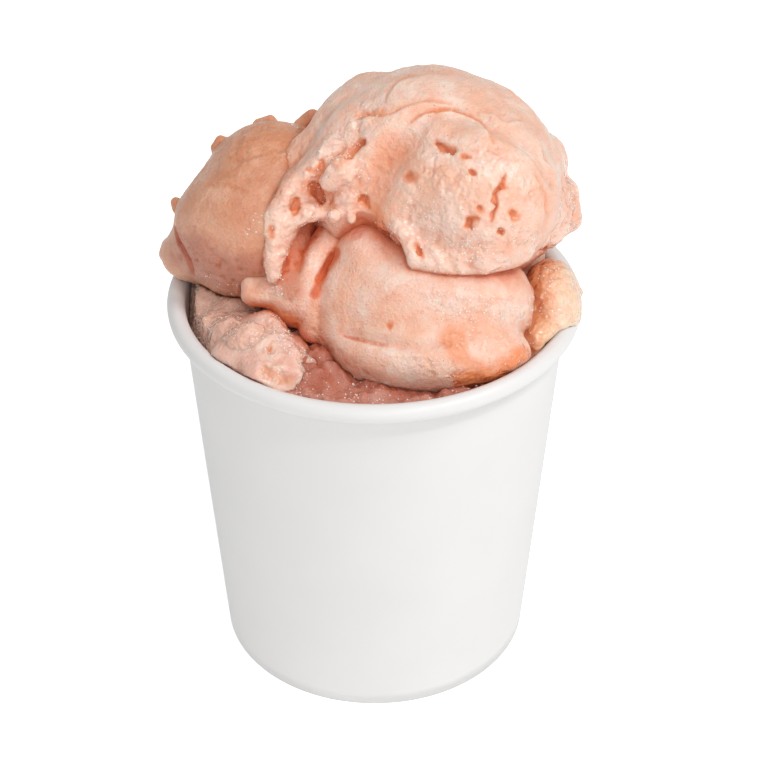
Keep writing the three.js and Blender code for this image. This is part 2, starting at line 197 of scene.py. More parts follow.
class Noise:
    """Seeded noise over points in space."""

    TABLE = 256  # entries in its tables, a power of two
    GAIN = 1.6  # brings gradient noise to about -1 to 1
    SHIFT = 17.3  # how far an octave's pattern is moved from the last one's
    CREST_SHIFT = 9.1  # the same for crests

    def __init__(self, seed: int) -> None:
        """Draws the gradients and the shuffle.

        Args:
            seed: Seed of this noise.
        """
        rng = np.random.default_rng(seed)
        self.arrows = unit(rng.normal(size=(self.TABLE, 3)))
        self.shuffle = np.tile(rng.permutation(self.TABLE), 2)
        self.jitter = rng.random((self.TABLE, 3))

    def _slot(self, cell: Points) -> Points:
        """The table entry of each whole-numbered cell."""
        a, b, c = (cell.astype(np.int64) % self.TABLE).T
        return self.shuffle[self.shuffle[self.shuffle[a] + b] + c]

    def smooth(self, points: Points, size: float) -> Points:
        """Gradient noise, about -1 to 1.

        Args:
            points: Points, in millimetres.
            size: Width of a swelling, in millimetres.

        Returns:
            One value for each point.
        """
        q = points / size
        base = np.floor(q)
        f = q - base
        u = f * f * f * (f * (f * 6 - 15) + 10)
        total = np.zeros(len(points))
        for corner in np.ndindex(2, 2, 2):
            step = np.array(corner)
            arrow = self.arrows[self._slot(base + step)]
            weight = np.prod(np.where(step, u, 1 - u), axis=1)
            total += weight * np.einsum("ij,ij->i", arrow, f - step)
        return total * self.GAIN

    def layered(self, points: Points, size: float, layers: int = 3, fade: float = 0.5) -> Points:
        """Several octaves of gradient noise, each half the size of the last.

        Args:
            points: Points, in millimetres.
            size: Width of the largest swelling.
            layers: Number of octaves.
            fade: Strength of each octave against the last.

        Returns:
            One value for each point.
        """
        total = np.zeros(len(points))
        for layer in range(layers):
            total += fade**layer * self.smooth(points + self.SHIFT * layer, size / 2**layer)
        return total

    def ridged(self, points: Points, size: float, layers: int = 2) -> Points:
        """Noise with sharp crests, 0 to 1.

        Args:
            points: Points, in millimetres.
            size: Distance between crests.
            layers: Number of octaves.

        Returns:
            One value for each point.
        """
        total, weight = np.zeros(len(points)), 0.0
        for layer in range(layers):
            octave = self.smooth(points - self.CREST_SHIFT * layer, size / 2**layer)
            total += 0.5**layer * (1 - np.abs(octave))
            weight += 0.5**layer
        return total / weight

    def grains(self, points: Points, size: float) -> Points:
        """Round grains that fill space: 1 at the middle of each, down to 0 between them.

        Args:
            points: Points, in millimetres.
            size: Distance between grains.

        Returns:
            One value for each point.
        """
        q = points / size
        base = np.floor(q)
        nearest = np.full(len(points), np.inf)
        for corner in np.ndindex(3, 3, 3):
            cell = base + np.array(corner) - 1
            middle = cell + self.jitter[self._slot(cell)]
            nearest = np.minimum(nearest, ((q - middle) ** 2).sum(1))
        return np.clip(1 - nearest, 0, 1)


@dataclass(frozen=True)
class Wave:
    """One layer of unevenness, its height and width in millimetres.

    The level is taken off the noise, so that the layer lowers as much as it raises. The shift
    moves its pattern clear of the other layers.
    """

    height: float
    width: float
    level: float = 0.0
    shift: float = 0.0

    def over(self, q: Points, pattern: Callable[..., Points], *layers: int) -> Points:
        """The layer's height at each point, from one of a noise's patterns."""
        return self.height * (pattern(q + self.shift, self.width, *layers) - self.level)


def smoothstep(low: float, high: float, value: Points) -> Points:
    """The usual soft step from 0 at low to 1 at high."""
    t = np.clip((value - low) / (high - low), 0, 1)
    return t * t * (3 - 2 * t)


def arch(along: Points) -> Points:
    """Rises from 0 at the start of a path to 1 halfway, and falls back to 0 at its end."""
    return np.sqrt(np.clip(4 * along * (1 - along), 0, 1))


# ---------- forms


def smooth_union(a: Points, b: Points, blend: float) -> Points:
    """The nearer of two distances, with a fillet of the size of blend."""
    h = np.clip(0.5 + 0.5 * (b - a) / blend, 0, 1)
    return b + (a - b) * h - blend * h * (1 - h)


def smooth_cut(a: Points, cutter: Points, blend: float) -> Points:
    """Distance a with a cutter's form taken out of it."""
    return -smooth_union(-a, cutter, blend)


class Form(ABC):
    """A solid given by its signed distance in slanted coordinates."""

    START = 0.75  # where a march along a sight line starts, as a share of the eye's height
    STRIDE = 0.8  # share of the free distance that one step of a march goes
    STRIDES = 90  # steps in a march

    low: Points
    high: Points

    @abstractmethod
    def distance(self, q: Points) -> Points:
        """Signed distance of each point from the surface, negative inside."""

    def slope(self, q: Points, step: float = 0.15) -> Points:
        """Unit outward direction at each point.

        Args:
            q: Points in slanted coordinates.
            step: Half the distance that the slope is taken over.

        Returns:
            One direction for each point.
        """
        axes = np.eye(3) * step
        rise = np.stack([self.distance(q + a) - self.distance(q - a) for a in axes], 1)
        return unit(rise, TINY)

    def meet(self, across: Points) -> tuple[Points, Points]:
        """Finds where sight lines first meet the surface.

        Args:
            across: The lines, as x, v on the slanted plane.

        Returns:
            The points, and the way the surface faces there.
        """
        eye = LAYOUT.slanted_eye
        through = np.column_stack([across, np.zeros(len(across))])
        along = unit(through - eye)
        q = eye + along * (self.START * eye[2])
        for _ in range(self.STRIDES):
            q = q + along * (self.STRIDE * self.distance(q))[:, None]
        return q, self.slope(q)


@dataclass(eq=False)
class Ball(Form):
    """An ellipsoid, its middle given as x, v, w and its radii along the slanted axes."""

    LEAST_SLOPE = 1e-9  # keeps the distance finite at the very middle

    place: Triple
    radii: Triple

    def __post_init__(self) -> None:
        """Places the ellipsoid."""
        self.centre = LAYOUT.place(*self.place)
        self.low, self.high = self.centre - self.radii, self.centre + self.radii

    def distance(self, q: Points) -> Points:
        """Signed distance, exact at the surface.

        Args:
            q: Points in slanted coordinates.

        Returns:
            One distance for each point.
        """
        d = (q - self.centre) / self.radii
        scaled = np.sqrt(np.einsum("ij,ij->i", d, d))
        slope = np.linalg.norm(d / self.radii, axis=1) + self.LEAST_SLOPE
        return scaled * (scaled - 1) / slope


class Rope(Form):
    """A round-ended rope through points, with a radius at each."""

    MARGIN = 4.0  # beyond this from its box, the distance is only a lower bound

    def __init__(self, points: Points, radii: Points) -> None:
        """Strings the rope.

        Args:
            points: Points in slanted coordinates.
            radii: A radius for each.
        """
        self.points, self.radii = np.asarray(points, float), np.asarray(radii, float)
        reach = self.radii.max()
        self.low, self.high = self.points.min(0) - reach, self.points.max(0) + reach

    @classmethod
    def laid(cls, places: list[Triple], radii: list[float]) -> Rope:
        """A rope through places given as x, v, w."""
        return cls(np.array([LAYOUT.place(*place) for place in places]), np.array(radii))

    def distance(self, q: Points) -> Points:
        """Signed distance near the rope, and a safe lower bound far from it.

        Args:
            q: Points in slanted coordinates.

        Returns:
            One distance for each point.
        """
        low, high = self.low - self.MARGIN, self.high + self.MARGIN
        beyond = np.maximum(np.maximum(low - q, q - high), 0)
        result = np.linalg.norm(beyond, axis=1) + self.MARGIN
        near = np.flatnonzero(result <= self.MARGIN)
        close = q[near]
        best = np.full(len(near), np.inf)
        ends = zip(self.points[:-1], self.points[1:], self.radii[:-1], self.radii[1:])
        for a, b, ra, rb in ends:
            ab = b - a
            t = np.clip((close - a) @ ab / (ab @ ab), 0, 1)
            off = np.linalg.norm(close - a - t[:, None] * ab, axis=1)
            best = np.minimum(best, off - ra - (rb - ra) * t)
        result[near] = best
        return result


@dataclass(eq=False)
class Joined(Form):
    """Forms run together with fillets of the size of blend."""

    forms: list[Form]
    blend: float

    def __post_init__(self) -> None:
        """Works out the box round all of them."""
        self.low = np.min([form.low for form in self.forms], axis=0)
        self.high = np.max([form.high for form in self.forms], axis=0)

    def distance(self, q: Points) -> Points:
        """Signed distance of the whole."""
        join = partial(smooth_union, blend=self.blend)
        return reduce(join, (form.distance(q) for form in self.forms))


@dataclass(eq=False)
class Carved(Form):
    """A form with others cut out of it, the cuts' edges softened by blend."""

    form: Form
    cutters: list[Form]
    blend: float

    def __post_init__(self) -> None:
        """Takes over the form's box."""
        self.low, self.high = self.form.low, self.form.high

    def distance(self, q: Points) -> Points:
        """Signed distance of what is left."""
        cut = partial(smooth_cut, blend=self.blend)
        return reduce(cut, (each.distance(q) for each in (self.form, *self.cutters)))


class Holes(Form):
    """Several ropes that are cut out together, their outlines made ragged by noise."""

    SEED = 31
    SHIFTS = (0.0, 37.0, 71.0)  # set the strays along the three axes apart
    NEAR = 3  # how many strays from the ropes the raggedness is worked out

    def __init__(self, ropes: list[Rope], wander: float = 0.75, size: float = 2.4) -> None:
        """Gathers the ropes.

        Args:
            ropes: The cutters.
            wander: How far the outlines stray, in millimetres.
            size: Width of a stray, in millimetres.
        """
        self.ropes, self.wander, self.size = ropes, wander, size
        self.noise = Noise(self.SEED)
        self.low = np.min([rope.low for rope in ropes], axis=0)
        self.high = np.max([rope.high for rope in ropes], axis=0)

    def plain(self, q: Points) -> Points:
        """Signed distance of the ropes as they are."""
        return np.min([rope.distance(q) for rope in self.ropes], axis=0)

    def distance(self, q: Points) -> Points:
        """Signed distance of the ragged ropes.

        Args:
            q: Points in slanted coordinates.

        Returns:
            One distance for each point.
        """
        total = self.plain(q)
        near = np.flatnonzero(total < self.NEAR * self.wander)
        if len(near):
            close = q[near]
            stray = [self.noise.smooth(close + shift, self.size) for shift in self.SHIFTS]
            total[near] = self.plain(close + self.wander * np.column_stack(stray))
        return total


@dataclass(eq=False)
class Laid(Form):
    """A form as it lies: trimmed to the cup, the bed and what was laid before it.

    The earlier pieces keep their shape. This one reaches under their skin by the overlap, so that
    no slit shows.
    """

    form: Form
    earlier: list[Form]
    overlap: float = 0.45

    def __post_init__(self) -> None:
        """Takes over the form's box."""
        self.low, self.high = self.form.low, self.form.high

    def distance(self, q: Points) -> Points:
        """Signed distance of the trimmed piece.

        Args:
            q: Points in slanted coordinates.

        Returns:
            One distance for each point.
        """
        total = self.form.distance(q)
        for other in self.earlier:
            total = np.maximum(total, -other.distance(q) - self.overlap)
        return np.maximum(trimmed_to_cup(q, total), BED_LEVEL - LAYOUT.to_cup(q)[:, 2])


def trimmed_to_cup(q: Points, distance: Points, blend: float = 0.8) -> Points:
    """Keeps a distance inside the cup's wall and clear of its curl.

    Args:
        q: Points in slanted coordinates.
        distance: Signed distance of a piece at those points.
        blend: Softness of the edge that the curl leaves.

    Returns:
        Signed distance of the piece as the cup leaves it.
    """
    x, y, z = LAYOUT.to_cup(q).T
    r = np.hypot(x, y)
    wall = r - (CUP.wall_radius(z) - CUP.board - CUP.gap)
    wall = np.where(z < CUP.wall_height, wall, -np.inf)
    curl = np.hypot(r - CUP.curl_centre, z - CUP.wall_height) - CUP.curl_radius - CUP.gap
    return smooth_cut(np.maximum(distance, wall), curl, blend)


def curve(path: Path, steps: int) -> Points:
    """A smooth curve through the points of a path.

    Args:
        path: The points.
        steps: Number of stretches in the result.

    Returns:
        steps + 1 points along the curve.
    """
    knots = np.array([path[0], *path, path[-1]], float)
    t = np.linspace(0, len(path) - 1, steps + 1)
    i = np.minimum(t.astype(int), len(path) - 2)
    u = (t - i)[:, None]
    a, b, c, d = knots[i], knots[i + 1], knots[i + 2], knots[i + 3]
    return 0.5 * (2 * b + (c - a) * u + (2 * a - 5 * b + 4 * c - d) * u**2 + (3 * b - a - 3 * c + d) * u**3)


def traced(form: Form, path: Path, steps_a_point: int = 3) -> tuple[Points, Points, Points]:
    """Lays a path on a form's surface as a smooth curve.

    Args:
        form: The form.
        path: The path, as x, v.
        steps_a_point: Stretches of the curve for each point of the path.

    Returns:
        The curve's points, the way the surface faces there, and a rise and fall along the curve.
    """
    steps = steps_a_point * len(path)
    points, facing = form.meet(curve(path, steps))
    return points, facing, arch(np.linspace(0, 1, steps + 1))


def fold(form: Form, path: Path, width: float, depth: float, least: float = 0.3) -> Rope:
    """The cutter for a fold in a form's surface.

    Args:
        form: The form it is cut into.
        path: The fold's run, as x, v.
        width: Its greatest width.
        depth: Its greatest depth.
        least: Share of its width and depth that it keeps at its ends.

    Returns:
        A rope that cuts the fold, running out at both ends.
    """
    points, facing, swell = traced(form, path)
    fade = np.maximum(least, swell)
    half, deep = 0.5 * width * fade, depth * fade
    radius = (half**2 + deep**2) / (2 * deep)
    return Rope(points + facing * (radius - deep)[:, None], radius)


def folded(form: Form, folds: list[tuple[Path, float, float]], blend: float) -> Carved:
    """A form with folds, each given as path, width and depth."""
    return Carved(form, [fold(form, *each) for each in folds], blend)


# ---------- meshing


@dataclass
class Skin:
    """A closed surface while it is being worked.

    Attributes:
        q: Its points in slanted coordinates.
        quads: Its faces.
        facing: Unit outward direction at each point.
        shades: Named values at each point, from 0 to 1.
    """

    q: Points
    quads: Points
    facing: Points
    shades: dict[Shade, Points] = field(default_factory=dict)

    def across(self) -> Points:
        """Each point's place on the slanted plane."""
        return LAYOUT.across(self.q)

    def raise_shade(self, shade: Shade, values: Points) -> None:
        """Raises a shade to the values given, where it is below them."""
        self.shades[shade] = np.maximum(self.shades[shade], values)

    def seen(self) -> Points:
        """How squarely each point faces the eye, 0 to 1."""
        sight = unit(LAYOUT.slanted_eye - self.q)
        return np.clip(np.einsum("ij,ij->i", self.facing, sight), 0, 1)


class SurfaceNet:
    """Meshes a form on a grid that lies along the slanted axes."""

    BLOCK = 8  # grid cells along a block, which is sampled as one where it is far from the surface
    MARGIN = 3  # grid cells kept free round the form
    FAR = 9.0  # the distance written where a block is far, in millimetres
    REACH = 0.75  # share of a block's diagonal within which it is near
    SPARE = 1.5  # what is added to that reach, in millimetres
    MENDS = 6  # rounds of mending
    NICK = -0.02  # the distance that a mended corner gets
    SETTLES = 2  # rounds of settling
    SHIFT = 0.3  # the furthest that a point settles in a round

    def __init__(self, form: Form, pitch: Triple) -> None:
        """Samples the form.

        Args:
            form: What is meshed.
            pitch: Grid pitch along x, v and w.
        """
        self.form = form
        self.pitch = np.array(pitch)
        self.low = form.low - self.MARGIN * self.pitch
        size = (form.high - form.low) / self.pitch + 2 * self.MARGIN
        self.blocks = np.ceil(size / self.BLOCK).astype(int)
        self.values = self._sampled()

    def _sampled(self) -> Points:
        """The form's distance on the grid, exact near the surface.

        Returns:
            A grid of distances.
        """
        n = self.BLOCK
        where = np.argwhere(np.ones(self.blocks, bool))
        middle = self.low + (where + 0.5) * n * self.pitch
        coarse = self.form.distance(middle)
        near = np.abs(coarse) < self.REACH * np.linalg.norm(n * self.pitch) + self.SPARE
        values = np.where(coarse < 0, -self.FAR, self.FAR).reshape(self.blocks)
        values = values.repeat(n, 0).repeat(n, 1).repeat(n, 2).astype(np.float32)
        inner = np.argwhere(np.ones((n, n, n), bool))
        cells = (where[near][:, None] * n + inner[None]).reshape(-1, 3)
        values[tuple(cells.T)] = self.form.distance(self.low + cells * self.pitch)
        return values

    def _mend(self) -> None:
        """Takes in corners where the inside touches itself across a face's diagonal."""
        v = self.values
        for _ in range(self.MENDS):
            changed = False
            for a, b in ((0, 1), (1, 2), (2, 0)):
                m = np.moveaxis(v, (a, b), (0, 1))
                w, x, y, z = m[:-1, :-1], m[1:, :-1], m[1:, 1:], m[:-1, 1:]
                bad = ((w < 0) == (y < 0)) & ((x < 0) == (z < 0)) & ((w < 0) != (x < 0))
                if bad.any():
                    i, j, k = np.nonzero(bad)
                    for di, dj in ((0, 0), (1, 0), (1, 1), (0, 1)):
                        m[i + di, j + dj, k] = np.minimum(m[i + di, j + dj, k], self.NICK)
                    changed = True
            if not changed:
                return

    def skin(self) -> Skin:
        """The surface, with its points settled on the form.

        Returns:
            The closed surface.
        """
        self._mend()
        v = self.values
        shape = np.array(v.shape)
        flat = v.ravel()
        strides = np.array([shape[1] * shape[2], shape[2], 1])
        sums: list[tuple[Points, Points]] = []
        rings: list[Points] = []
        inside = v < 0
        for axis in range(3):
            lower = np.take(inside, range(shape[axis] - 1), axis)
            upper = np.take(inside, range(1, shape[axis]), axis)
            start = np.argwhere(lower != upper)
            at = start @ strides
            d0, d1 = flat[at], flat[at + strides[axis]]
            point = start.astype(float)
            point[:, axis] += d0 / (d0 - d1)
            b, c = (axis + 1) % 3, (axis + 2) % 3
            ring = [at - s * strides[b] - t * strides[c] for s, t in ((1, 1), (0, 1), (0, 0), (1, 0))]
            sums += [(cell, point) for cell in ring]
            ring = np.column_stack(ring)
            rings.append(np.where((d0 < 0)[:, None], ring, ring[:, ::-1]))
        cells = np.concatenate([cell for cell, _ in sums])
        points = np.concatenate([point for _, point in sums])
        used, index = np.unique(cells, return_inverse=True)
        count = np.bincount(index)
        mean = np.column_stack([np.bincount(index, points[:, a]) / count for a in range(3)])
        q = self.low + mean * self.pitch
        for _ in range(self.SETTLES):
            facing = self.form.slope(q)
            shift = np.clip(self.form.distance(q), -self.SHIFT, self.SHIFT)
            q = q - facing * shift[:, None]
        quads = np.searchsorted(used, np.concatenate(rings))
        return Skin(q, quads, self.form.slope(q))


# ---------- working a surface


def path_distance(points: Points, path: Points, least: float = 1e-9) -> tuple[Points, Points, Points]:
    """Measures points on the slanted plane against a path on it.

    Args:
        points: The points, as x, v.
        path: The path's own points.
        least: Keeps a path of one point measurable.

    Returns:
        The distance, the side of the path (positive on its left) and how far along it, 0 to 1.
    """
    best = np.full(len(points), np.inf)
    side, along = np.zeros(len(points)), np.zeros(len(points))
    stretches = max(len(path) - 1, 1)
    for i in range(stretches):
        a, b = path[i], path[min(i + 1, len(path) - 1)]
        ab = b - a
        t = np.clip((points - a) @ ab / (ab @ ab + least), 0, 1)
        off = points - a - t[:, None] * ab
        d = np.linalg.norm(off, axis=1)
        nearer = d < best
        best = np.where(nearer, d, best)
        side = np.where(nearer, np.sign(ab[0] * off[:, 1] - ab[1] * off[:, 0]), side)
        along = np.where(nearer, (i + t) / stretches, along)
    return best, side, along


@dataclass(frozen=True)
class Zone:
    """A stretch of surface with a finish of its own, along a path on the slanted plane."""

    CORE, FRINGE = 0.35, 1.3  # where it starts to fade and where it ends, against half its width

    shade: Shade
    path: Path
    width: float
    strength: float = 1.0
    ragged: float = 0.35

    def mask(self, across: Points, wander: Points) -> Points:
        """How much each point belongs to the zone.

        Args:
            across: The points, as x, v.
            wander: Noise at each point that frays the zone's edge.

        Returns:
            Values from 0 to the zone's strength.
        """
        d = path_distance(across, np.array(self.path))[0] / (0.5 * self.width)
        return self.strength * (1 - smoothstep(self.CORE, self.FRINGE, d + self.ragged * wander))


@dataclass(frozen=True)
class Terrace:
    """A ledge where one layer of a scoop ends on another: the path's left side stands proud."""

    FOOT = -0.2  # where the ledge starts to rise, in millimetres from the path
    CREASE_AT = -0.25  # the middle of the crease at its foot
    CREASE_WIDTH = 0.55
    CREASE_DEPTH = 0.25  # share of the ledge's height
    STEPS_A_POINT = 6  # stretches of curve for each point of the path

    path: Path
    height: float
    run: float = 7.0
    edge: float = 0.7

    def rise(self, across: Points) -> tuple[Points, Points]:
        """The ledge's height at each point, and how deep each lies in its crease.

        Args:
            across: The points, as x, v.

        Returns:
            The two values at each point.
        """
        line = curve(self.path, self.STEPS_A_POINT * len(self.path))
        d, side, along = path_distance(across, line)
        fade, signed = arch(along), d * side
        proud = smoothstep(self.FOOT, self.edge, signed) * np.exp(-np.maximum(signed, 0) / self.run)
        crease = np.exp(-((signed - self.CREASE_AT) / self.CREASE_WIDTH) ** 2)
        return self.height * fade * (proud - self.CREASE_DEPTH * crease), fade * crease


class Worked:
    """Adds relief and shades to a skin."""

    FRONT = (0.03, 0.3)  # how squarely a point faces the eye where the marks fade in
    FRAY = Wave(1.0, 5.0)  # frays the zones' edges
    PATCH, PATCH_ENDS = Wave(1.0, 16.0, shift=40), (0.15, 0.6)  # where the far side is torn
    PATCH_SHARE = 0.8
    STRAYS = (Wave(0.5, 3.5), Wave(0.5, 3.5, shift=50))  # how far the ledges' runs wander
    # share of the painted shade in the crease at a ledge's foot
    LEDGE_CREASE_SHADE = 0.32
    STREAK_STRETCH = np.array([1.0, 3.5, 1.5])  # the wrinkles run long, 30 degrees off upright
    STREAK_AXES = np.array([[0.866, -0.5, 0.0], [0.5, 0.866, 0.0], [0.0, 0.0, 1.0]])
    SWELL, FINE_SWELL, WRINKLE = Wave(0.32, 10.0), Wave(0.16, 4.2, shift=7), Wave(0.13, 1.7)
    RAG, FINE_RAG, PEBBLE = Wave(0.8, 7.0, 0.72), Wave(0.5, 3.4, shift=21), Wave(0.22, 2.4, 0.7)
    RIPPLE = Wave(0.55, 3.0, 0.75, 5)
    CRUST, CRUST_ENDS = Wave(1.0, 1.7, shift=33), (0.1, 0.7)  # where a crust is pitted
    CRUST_DEPTH = 0.6
    GRAIN, FINE_GRAIN = Wave(0.05, 1.3), Wave(0.04, 0.85, shift=13)
    TORN_CALM = 0.5  # share of the swelling that a torn place loses
    TORN_RAGS = 1.3  # how much higher the rags stand there
    MELTED_CALM = 0.6  # share of the grain that syrup drowns
    DIP_STAIN, DIP_ENDS = 0.55, (0.05, -0.75)  # painted shade in the dips between rags, and the rags' heights
    TOUCH = ((1.0, 0.35), (2.6, 0.3), (6.5, 0.35))  # how far a neighbour is felt, and its share of the painted shade against it
    TOUCH_GAIN = 1.45
    FINE_DIP, BROAD_DIP = (5, 0.3), (40, 0.8)  # rounds of evening, and the depth that counts full, for the painted shade in dips

    def __init__(self, skin: Skin, seed: int) -> None:
        """Takes up a skin.

        Args:
            skin: The surface to work.
            seed: Seed of its noise, the same for all pieces so that they agree where they meet.
        """
        self.skin = skin
        self.noise = Noise(seed)
        self.across = skin.across()
        self.front = smoothstep(*self.FRONT, skin.seen())
        count = len(skin.q)
        for name in Shade:
            skin.shades[name] = np.zeros(count)

    def zones(self, zones: tuple[Zone, ...]) -> None:
        """Marks out zones, and gives the sides that the zones don't reach patches of their own.

        Args:
            zones: The piece's zones.
        """
        wander = self.FRAY.over(self.skin.q, self.noise.layered, 2)
        for zone in zones:
            self.skin.raise_shade(zone.shade, zone.mask(self.across, wander) * self.front)
        patch = smoothstep(*self.PATCH_ENDS, self.PATCH.over(self.skin.q, self.noise.layered, 2))
        self.skin.raise_shade(Shade.TORN, self.PATCH_SHARE * (1 - self.front) * patch)

    def lift(self, height: Points) -> None:
        """Moves each point outwards by its own height."""
        self.skin.q = self.skin.q + self.skin.facing * height[:, None]
        self.skin.facing = self.normals()

    def terraces(self, terraces: tuple[Terrace, ...]) -> None:
        """Raises ledges.

        Args:
            terraces: The piece's ledges.
        """
        strays = [stray.over(self.skin.q, self.noise.smooth) for stray in self.STRAYS]
        wander = np.column_stack(strays)
        total = np.zeros(len(self.across))
        for terrace in terraces:
            rise, crease = terrace.rise(self.across + wander)
            total += rise * self.front
            # painted shade in the crease at the ledge's foot
            self.skin.raise_shade(Shade.HOLLOW, self.LEDGE_CREASE_SHADE * crease * self.front)
        self.lift(total)

    def normals(self) -> Points:
        """Unit outward direction at each point of the worked surface.

        Returns:
            One direction for each point.
        """
        a, b, c, d = (self.skin.q[self.skin.quads[:, i]] for i in range(4))
        face = np.cross(c - a, d - b)
        total = np.zeros_like(self.skin.q)
        for corner in range(4):
            for axis in range(3):
                total[:, axis] += np.bincount(self.skin.quads[:, corner], face[:, axis], len(total))
        return unit(total, TINY)

    @cached_property
    def edges(self) -> Points:
        """The surface's edges, each once.

        Returns:
            Pairs of point numbers.
        """
        quads = self.skin.quads
        pairs = np.concatenate([quads[:, (i, (i + 1) % 4)] for i in range(4)])
        pairs.sort(axis=1)
        codes = np.unique(pairs[:, 0] * len(self.skin.q) + pairs[:, 1])
        return np.column_stack([codes // len(self.skin.q), codes % len(self.skin.q)])

    def evened(self, values: Points, rounds: int) -> Points:
        """Values averaged with their neighbours a number of times.

        Args:
            values: A value, or several, at each point.
            rounds: How many times they are averaged.

        Returns:
            The averaged values.
        """
        a, b = self.edges.T
        count = len(self.skin.q)
        degree = np.bincount(a, minlength=count) + np.bincount(b, minlength=count)
        columns = values.reshape(count, -1).copy()
        for _ in range(rounds):
            mean = [
                (np.bincount(a, column[b], count) + np.bincount(b, column[a], count)) / degree
                for column in columns.T
            ]
            columns = 0.5 * (columns + np.column_stack(mean))
        return columns.reshape(values.shape)

    def cavity(self, rounds: int) -> Points:
        """How far each point lies below its surroundings, in millimetres."""
        even = self.evened(self.skin.q, rounds)
        return np.einsum("ij,ij->i", even - self.skin.q, self.skin.facing)

    def relief(self, calm: float = 1.0, rough: float = 1.0) -> None:
        """Raises the sorbet's own unevenness, from slow swellings to ice grain.

        Args:
            calm: Share of the usual swelling on the smooth parts.
            rough: Share of the usual raggedness on the torn parts.
        """
        q, noise, shades = self.skin.q, self.noise, self.skin.shades
        torn = shades[Shade.TORN]
        streaks = q @ self.STREAK_AXES.T / self.STREAK_STRETCH
        swell = self.SWELL.over(q, noise.layered, 2) + self.FINE_SWELL.over(q, noise.smooth)
        wrinkles = self.WRINKLE.over(streaks, noise.layered, 2)
        rags = self.RAG.over(q, noise.ridged) + self.FINE_RAG.over(q, noise.smooth)
        ragged = self.TORN_RAGS * rags + self.PEBBLE.over(q, noise.grains)
        ripples = self.RIPPLE.over(q, noise.ridged)
        crust = -self.CRUST_DEPTH * smoothstep(*self.CRUST_ENDS, self.CRUST.over(q, noise.smooth))
        grain = self.GRAIN.over(q, noise.smooth) + self.FINE_GRAIN.over(q, noise.smooth) * (1 - torn)
        height = calm * (1 - self.TORN_CALM * torn) * (swell + wrinkles) + torn * rough * ragged
        height += shades[Shade.WET] * ripples + shades[Shade.DUSK] * crust * (1 - torn)
        # painted shade in the dips between the rags
        self.skin.raise_shade(Shade.HOLLOW, self.DIP_STAIN * torn * smoothstep(*self.DIP_ENDS, rags))
        self.lift(height + grain * (1 - self.MELTED_CALM * shades[Shade.MELT]))

    def shade_hollows(self, others: list[Form]) -> None:
        """Works out the painted shade: how deep each point lies in a crease or against a neighbour.

        Args:
            others: The pieces that lie against this one.
        """
        contact_shade = np.zeros(len(self.skin.q))
        for reach, share in self.TOUCH:
            ahead = self.skin.q + reach * self.skin.facing
            free = np.min([other.distance(ahead) for other in others], axis=0) / reach
            contact_shade += share * (1 - np.clip(free, 0, 1))
        contact_shade = np.clip(self.TOUCH_GAIN * contact_shade, 0, 1)
        dips = (self.FINE_DIP, self.BROAD_DIP)
        fine, broad = (np.clip(self.cavity(rounds) / full, 0, 1) for rounds, full in dips)
        shades = self.skin.shades
        # painted shade: the deep and syrup colours in creases, dips and against neighbours
        shades[Shade.DEEP] = np.clip(shades[Shade.DEEP] + 0.7 * contact_shade + 0.2 * broad, 0, 1)
        shades[Shade.HOLLOW] = np.clip(shades[Shade.HOLLOW] + 0.5 * fine + 0.3 * broad + 0.5 * contact_shade, 0, 1)


# ---------- meshes


def placed(name: str, data: bpy.types.ID) -> Piece:
    """Makes an object of new data and links it to the scene.

    Args:
        name: The object's name.
        data: Its mesh, light or camera.

    Returns:
        The object.
    """
    piece = bpy.data.objects.new(name, data)
    bpy.context.scene.collection.objects.link(piece)
    return piece


def mesh_of(name: str, points: Points, faces: Points, shades: dict[str, Points] | None = None) -> Piece:
    """Makes a smooth-shaded object from points in the cup's frame.

    Args:
        name: The piece's name.
        points: Its points, in millimetres.
        faces: Rows of three or four corners.
        shades: Values at each point, kept as attributes.

    Returns:
        The object, linked to the scene.
    """
    count, corners = len(faces), faces.shape[1]
    mesh = bpy.data.meshes.new(name)
    mesh.vertices.add(len(points))
    mesh.vertices.foreach_set("co", (points * MM).astype(np.float32).ravel())
    mesh.loops.add(count * corners)
    mesh.loops.foreach_set("vertex_index", faces.astype(np.int32).ravel())
    mesh.polygons.add(count)
    mesh.polygons.foreach_set("loop_start", np.arange(0, count * corners, corners, dtype=np.int32))
    mesh.polygons.foreach_set("use_smooth", np.ones(count, bool))
    for shade, values in (shades or {}).items():
        layer = mesh.attributes.new(str(shade), "FLOAT", "POINT")
        layer.data.foreach_set("value", values.astype(np.float32))
    mesh.update(calc_edges=True)
    return placed(name, mesh)


def lathed(profile: Profile, turns: int, proud: Points | None = None) -> tuple[Points, Points]:
    """Turns a profile round the cup's axis.

    Args:
        profile: Points (radius, height). It closes on itself, or starts and ends on the axis.
        turns: Number of steps round.
        proud: Optional outward shift, one row for each profile point and one column for each step.

    Returns:
        The points and the quads of the surface. Points on the axis are doubled.
    """
    rings = np.array(profile, float)
    angle = np.linspace(0, 2 * math.pi, turns, endpoint=False)
    radii = rings[:, :1] + (0 if proud is None else proud)
    x, y = radii * np.cos(angle), radii * np.sin(angle)
    z = np.broadcast_to(rings[:, 1:], x.shape)
    points = np.stack([x, y, z], 2).reshape(-1, 3)
    index = np.arange(len(points)).reshape(len(rings), turns)
    following = np.roll(index, -1, 1)
    last = len(rings) - 1 if rings[0, 0] == 0 else len(rings)
    rows = [(i, (i + 1) % len(rings)) for i in range(last)]
    bands = [(index[i], index[j], following[j], following[i]) for i, j in rows]
    quads = np.concatenate([np.column_stack(band) for band in bands])
    return points, quads


def revolved(name: str, profile: Profile, turns: int, proud: Points | None = None) -> Piece:
    """A closed, smooth-shaded turned piece, from the same things as lathed, and a name.

    Args:
        name: The piece's name.
        profile: Points (radius, height).
        turns: Number of steps round.
        proud: Optional outward shift at each profile point and step.

    Returns:
        The closed, smooth-shaded piece.
    """
    piece = mesh_of(name, *lathed(profile, turns, proud))
    close_up(piece)
    return piece


